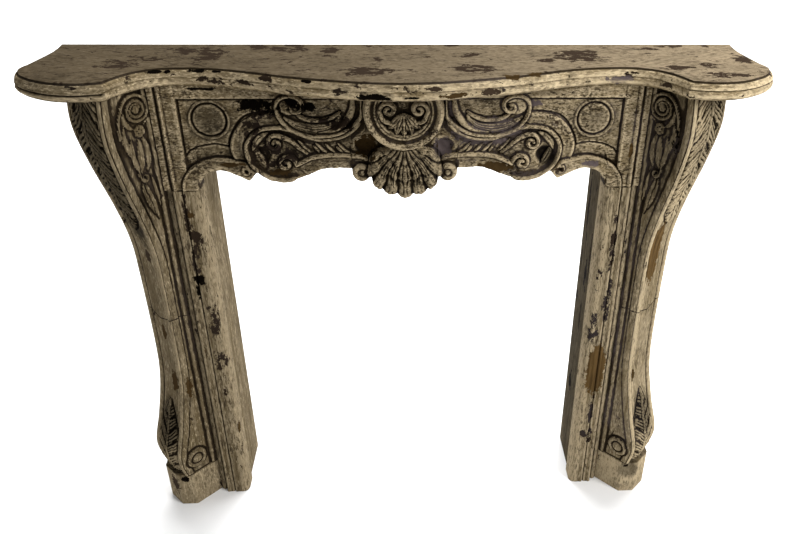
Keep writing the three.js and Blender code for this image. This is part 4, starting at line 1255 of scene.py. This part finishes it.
def console_piece(node, upper, way, sizes):
    """One length of a console as a closed ring of sides and front, from its foot to its head."""
    low, high = (SPLICE_HEIGHT, UNDER_SHELF) if upper else (PLINTH_HEIGHT + GAP, SPLICE_HEIGHT)
    rows = int((high - low) * MM / sizes.console_step) + 1
    part = np.linspace(0, 1, rows)[:, None]
    seed = 40 + 4 * upper + 2 * (way > 0)
    side_way = np.linspace(0, 1, SIDE_COLUMNS)
    front_way = np.linspace(-1, 1, FRONT_COLUMNS)
    splice = SPLICE_HEIGHT - SPLICE_RISE * (1 - np.abs(front_way))
    foot = splice + GAP / 2 if upper else np.full(len(front_way), low)
    head = np.full(len(front_way), high) if upper else splice - GAP / 2
    side_up = foot[0] + (head[0] - foot[0]) * part
    front_up = foot + (head - foot) * part
    stand = smooth_through(CONSOLE_FRONT, side_up)
    half = smooth_through(CONSOLE_WIDTH, side_up) / 2
    side_out = CONSOLE_ROOT + side_way * (stand - CONSOLE_ROOT)
    side_half = ROOT_HALF_WIDTH + side_way * (half - ROOT_HALF_WIDTH)
    up = np.broadcast_to(side_up, side_out.shape)
    worn = sizes.edge_round / MM
    near_edge = (1 - np.clip((stand - side_out) / (1.6 * worn), 0, 1)) ** 2
    faces = []
    for carved in (True, False):
        relief = console_side(side_out, up, np.broadcast_to(stand, side_out.shape), carved)
        relief *= ramp(side_way, 0, 0.03)
        # Painted shade: each side is darkened along its root, in the corner where the console meets the
        # piece behind it.
        sunk = np.maximum(hollows(relief, 3), bell((side_out - CONSOLE_ROOT) / 4))
        marks = sizes.tool_marks / MM * unevenness(relief.shape, 2, seed + carved)
        relief = relief - 0.6 * worn * near_edge + marks
        faces.append((relief, sunk))
    across_half = smooth_through(CONSOLE_WIDTH, front_up) / 2
    across = front_way * across_half
    relief, cuts = console_front(across, front_up, across_half, seed + 10)
    front_sunk = np.clip(2.0 * hollows(relief, 2) + 1.6 * cuts, -1, 1)
    at_edge = (1 - np.clip((1 - np.abs(front_way)) * across_half / (1.6 * worn), 0, 1)) ** 2
    relief = relief * ramp(1 - np.abs(front_way), 0, 0.05) - 0.6 * worn * at_edge
    relief[0 if upper else -1] -= 1
    front_out = smooth_through(CONSOLE_FRONT, front_up) + relief
    inner = canted(side_out, -side_half - faces[0][0])
    outer = canted(side_out, side_half + faces[1][0])
    face = canted(front_out, across)
    face = [np.hstack([inner[i][:, -1:], face[i][:, 1:-1], outer[i][:, -1:]]) for i in (0, 1)]
    corner = [np.full((rows, 1), place) for place in canted(CORNER_OUT, 0)]
    ring = [np.hstack([inner[i][:, :-1], face[i], outer[i][:, -2::-1], corner[i]]) for i in (0, 1)]
    height = np.hstack([up[:, :-1], front_up, up[:, 1:], side_up])
    sunk = np.hstack([faces[0][1][:, :-1], front_sunk, faces[1][1][:, -2::-1], np.zeros((rows, 1))])
    sunk[0 if upper else -1] = 1
    # Painted shade: the two bottom rows of the lower length darken where the console stands on the plinth.
    if not upper:
        sunk[:2] = 1
    points = np.stack([ring[0] * way, ring[1], height], -1)
    return closed_piece(f"{node}_carved", [(points, sunk, True)])


class MANTEL_OT_consoles(bpy.types.Operator):
    """Carves the canted scroll consoles, each in two lengths that meet in a shallow V."""

    bl_idname = "mantel.consoles"
    bl_label = "Consoles"

    def execute(self, context):
        sizes = context.scene.mantel_sizes
        colours = context.scene.mantel_colours
        material = old_paint("carved_console_paint", colours, (140, 140, 9), fade=0.82, specks=0.45,
                             chips=0.36, chip_scale=26.0, chip_stretch=(1, 1, 0.5), patches=CONSOLE_MARKS)
        for side, way in SIDES.items():
            for length in ("upper", "lower"):
                node = f"console_{length}_{side}"
                mesh = console_piece(node, length == "upper", way, sizes)
                show_piece(mesh, node, material)
        return {"FINISHED"}


# Lights by place, aim, diameter, spread in degrees and power.
LIGHTS = {
    "key_light": ((1.85, -1.3, 2.15), (0.1, 0.0, 0.7), 1.1, 180, 66),
    "back_light": ((1.4, 1.4, 2.9), (1.2, 1.2, 0.0), 2.0, 120, 50),
    "far_light": ((-0.5, 5.0, 6.0), (-0.5, 4.9, 0.0), 6.0, 140, 700),
}
ROOM_LIGHT = 0.4
FLOOR_REACH = 30.0
# The camera's place, its heading and the way to its right. Its focal length and the middle of its
# view are in pixels of the image.
IMAGE_WIDTH, IMAGE_HEIGHT = 800, 534
CAMERA_PLACE = (0.01252, -1.41716, 1.45947)
CAMERA_AHEAD = (0.052584, 0.861148, -0.505628)
CAMERA_RIGHT = (0.998516, -0.052527, 0.014385)
FOCAL = 776.283
VIEW_MIDDLE = (453.572, 260.979)
SENSOR = 36.0


class MANTEL_OT_stage(bpy.types.Operator):
    """Sets the pale floor, the soft studio light and the camera."""

    bl_idname = "mantel.stage"
    bl_label = "Stage"

    def execute(self, context):
        scene = context.scene
        colours = scene.mantel_colours
        mesh = bpy.data.meshes.new("floor")
        corners = [(FLOOR_REACH * x, FLOOR_REACH * y, 0) for x, y in ((-1, -1), (1, -1), (1, 1), (-1, 1))]
        mesh.from_pydata(corners, [], [(0, 1, 2, 3)])
        finish = Finish("pale_floor")
        cloud = finish.noise(0.6, 2.0)
        shade = finish.mix(cloud, colours.floor, times(0.98, colours.floor))
        mesh.materials.append(finish.done(shade, 0.8 + 0.1 * cloud, cloud, 0.02, 0.001))
        floor = bpy.data.objects.new("floor", mesh)
        scene.collection.objects.link(floor)
        for name, (place, aim, size, spread, power) in LIGHTS.items():
            lamp = bpy.data.lights.new(name, "AREA")
            lamp.shape = "DISK"
            lamp.size = size
            lamp.spread = math.radians(spread)
            lamp.energy = power
            light = bpy.data.objects.new(name, lamp)
            light.location = place
            light.rotation_euler = (Vector(aim) - Vector(place)).to_track_quat("-Z", "Y").to_euler()
            scene.collection.objects.link(light)
        world = bpy.data.worlds.new("pale_room")
        world.use_nodes = True
        back = world.node_tree.nodes["Background"]
        back.inputs["Color"].default_value = (1, 1, 1, 1)
        back.inputs["Strength"].default_value = ROOM_LIGHT
        scene.world = world
        scene.view_settings.view_transform = "Standard"
        self.add_camera(scene)
        return {"FINISHED"}

    def add_camera(self, scene):
        """The camera at the photograph's viewing angle."""
        ahead = Vector(CAMERA_AHEAD).normalized()
        right = Vector(CAMERA_RIGHT)
        right = (right - ahead * right.dot(ahead)).normalized()
        lens = bpy.data.cameras.new("camera")
        lens.sensor_width = SENSOR
        lens.lens = FOCAL * SENSOR / IMAGE_WIDTH
        lens.shift_x = (IMAGE_WIDTH / 2 - VIEW_MIDDLE[0]) / IMAGE_WIDTH
        lens.shift_y = (VIEW_MIDDLE[1] - IMAGE_HEIGHT / 2) / IMAGE_WIDTH
        camera = bpy.data.objects.new("camera", lens)
        camera.matrix_world = Matrix((right, right.cross(ahead), -ahead)).transposed().to_4x4()
        camera.location = CAMERA_PLACE
        scene.collection.objects.link(camera)
        scene.camera = camera


class MANTEL_PT_panel(bpy.types.Panel):
    """Lists the pieces, their sizes and their colours."""

    bl_idname = "MANTEL_PT_panel"
    bl_label = "Carved mantel"
    bl_space_type = "VIEW_3D"
    bl_region_type = "UI"
    bl_category = "Mantel"

    def draw(self, context):
        for operator in OPERATORS:
            self.layout.operator(operator.bl_idname)
        for group in (context.scene.mantel_sizes, context.scene.mantel_colours):
            box = self.layout.box()
            for name in group.bl_rna.properties.keys():
                if name not in {"rna_type", "name"}:
                    box.prop(group, name)


OPERATORS = (MANTEL_OT_shelf, MANTEL_OT_frieze, MANTEL_OT_jambs, MANTEL_OT_boards, MANTEL_OT_plinths,
             MANTEL_OT_consoles, MANTEL_OT_stage)
CLASSES = (MantelSizes, MantelColours, *OPERATORS, MANTEL_PT_panel)


def register():
    for kind in CLASSES:
        bpy.utils.register_class(kind)
    bpy.types.Scene.mantel_sizes = bpy.props.PointerProperty(type=MantelSizes)
    bpy.types.Scene.mantel_colours = bpy.props.PointerProperty(type=MantelColours)


def unregister():
    del bpy.types.Scene.mantel_colours
    del bpy.types.Scene.mantel_sizes
    for kind in reversed(CLASSES):
        bpy.utils.unregister_class(kind)


def main():
    register()
    for operator in OPERATORS:
        group, name = operator.bl_idname.split(".")
        getattr(getattr(bpy.ops, group), name)()


if __name__ == "__main__":
    main()
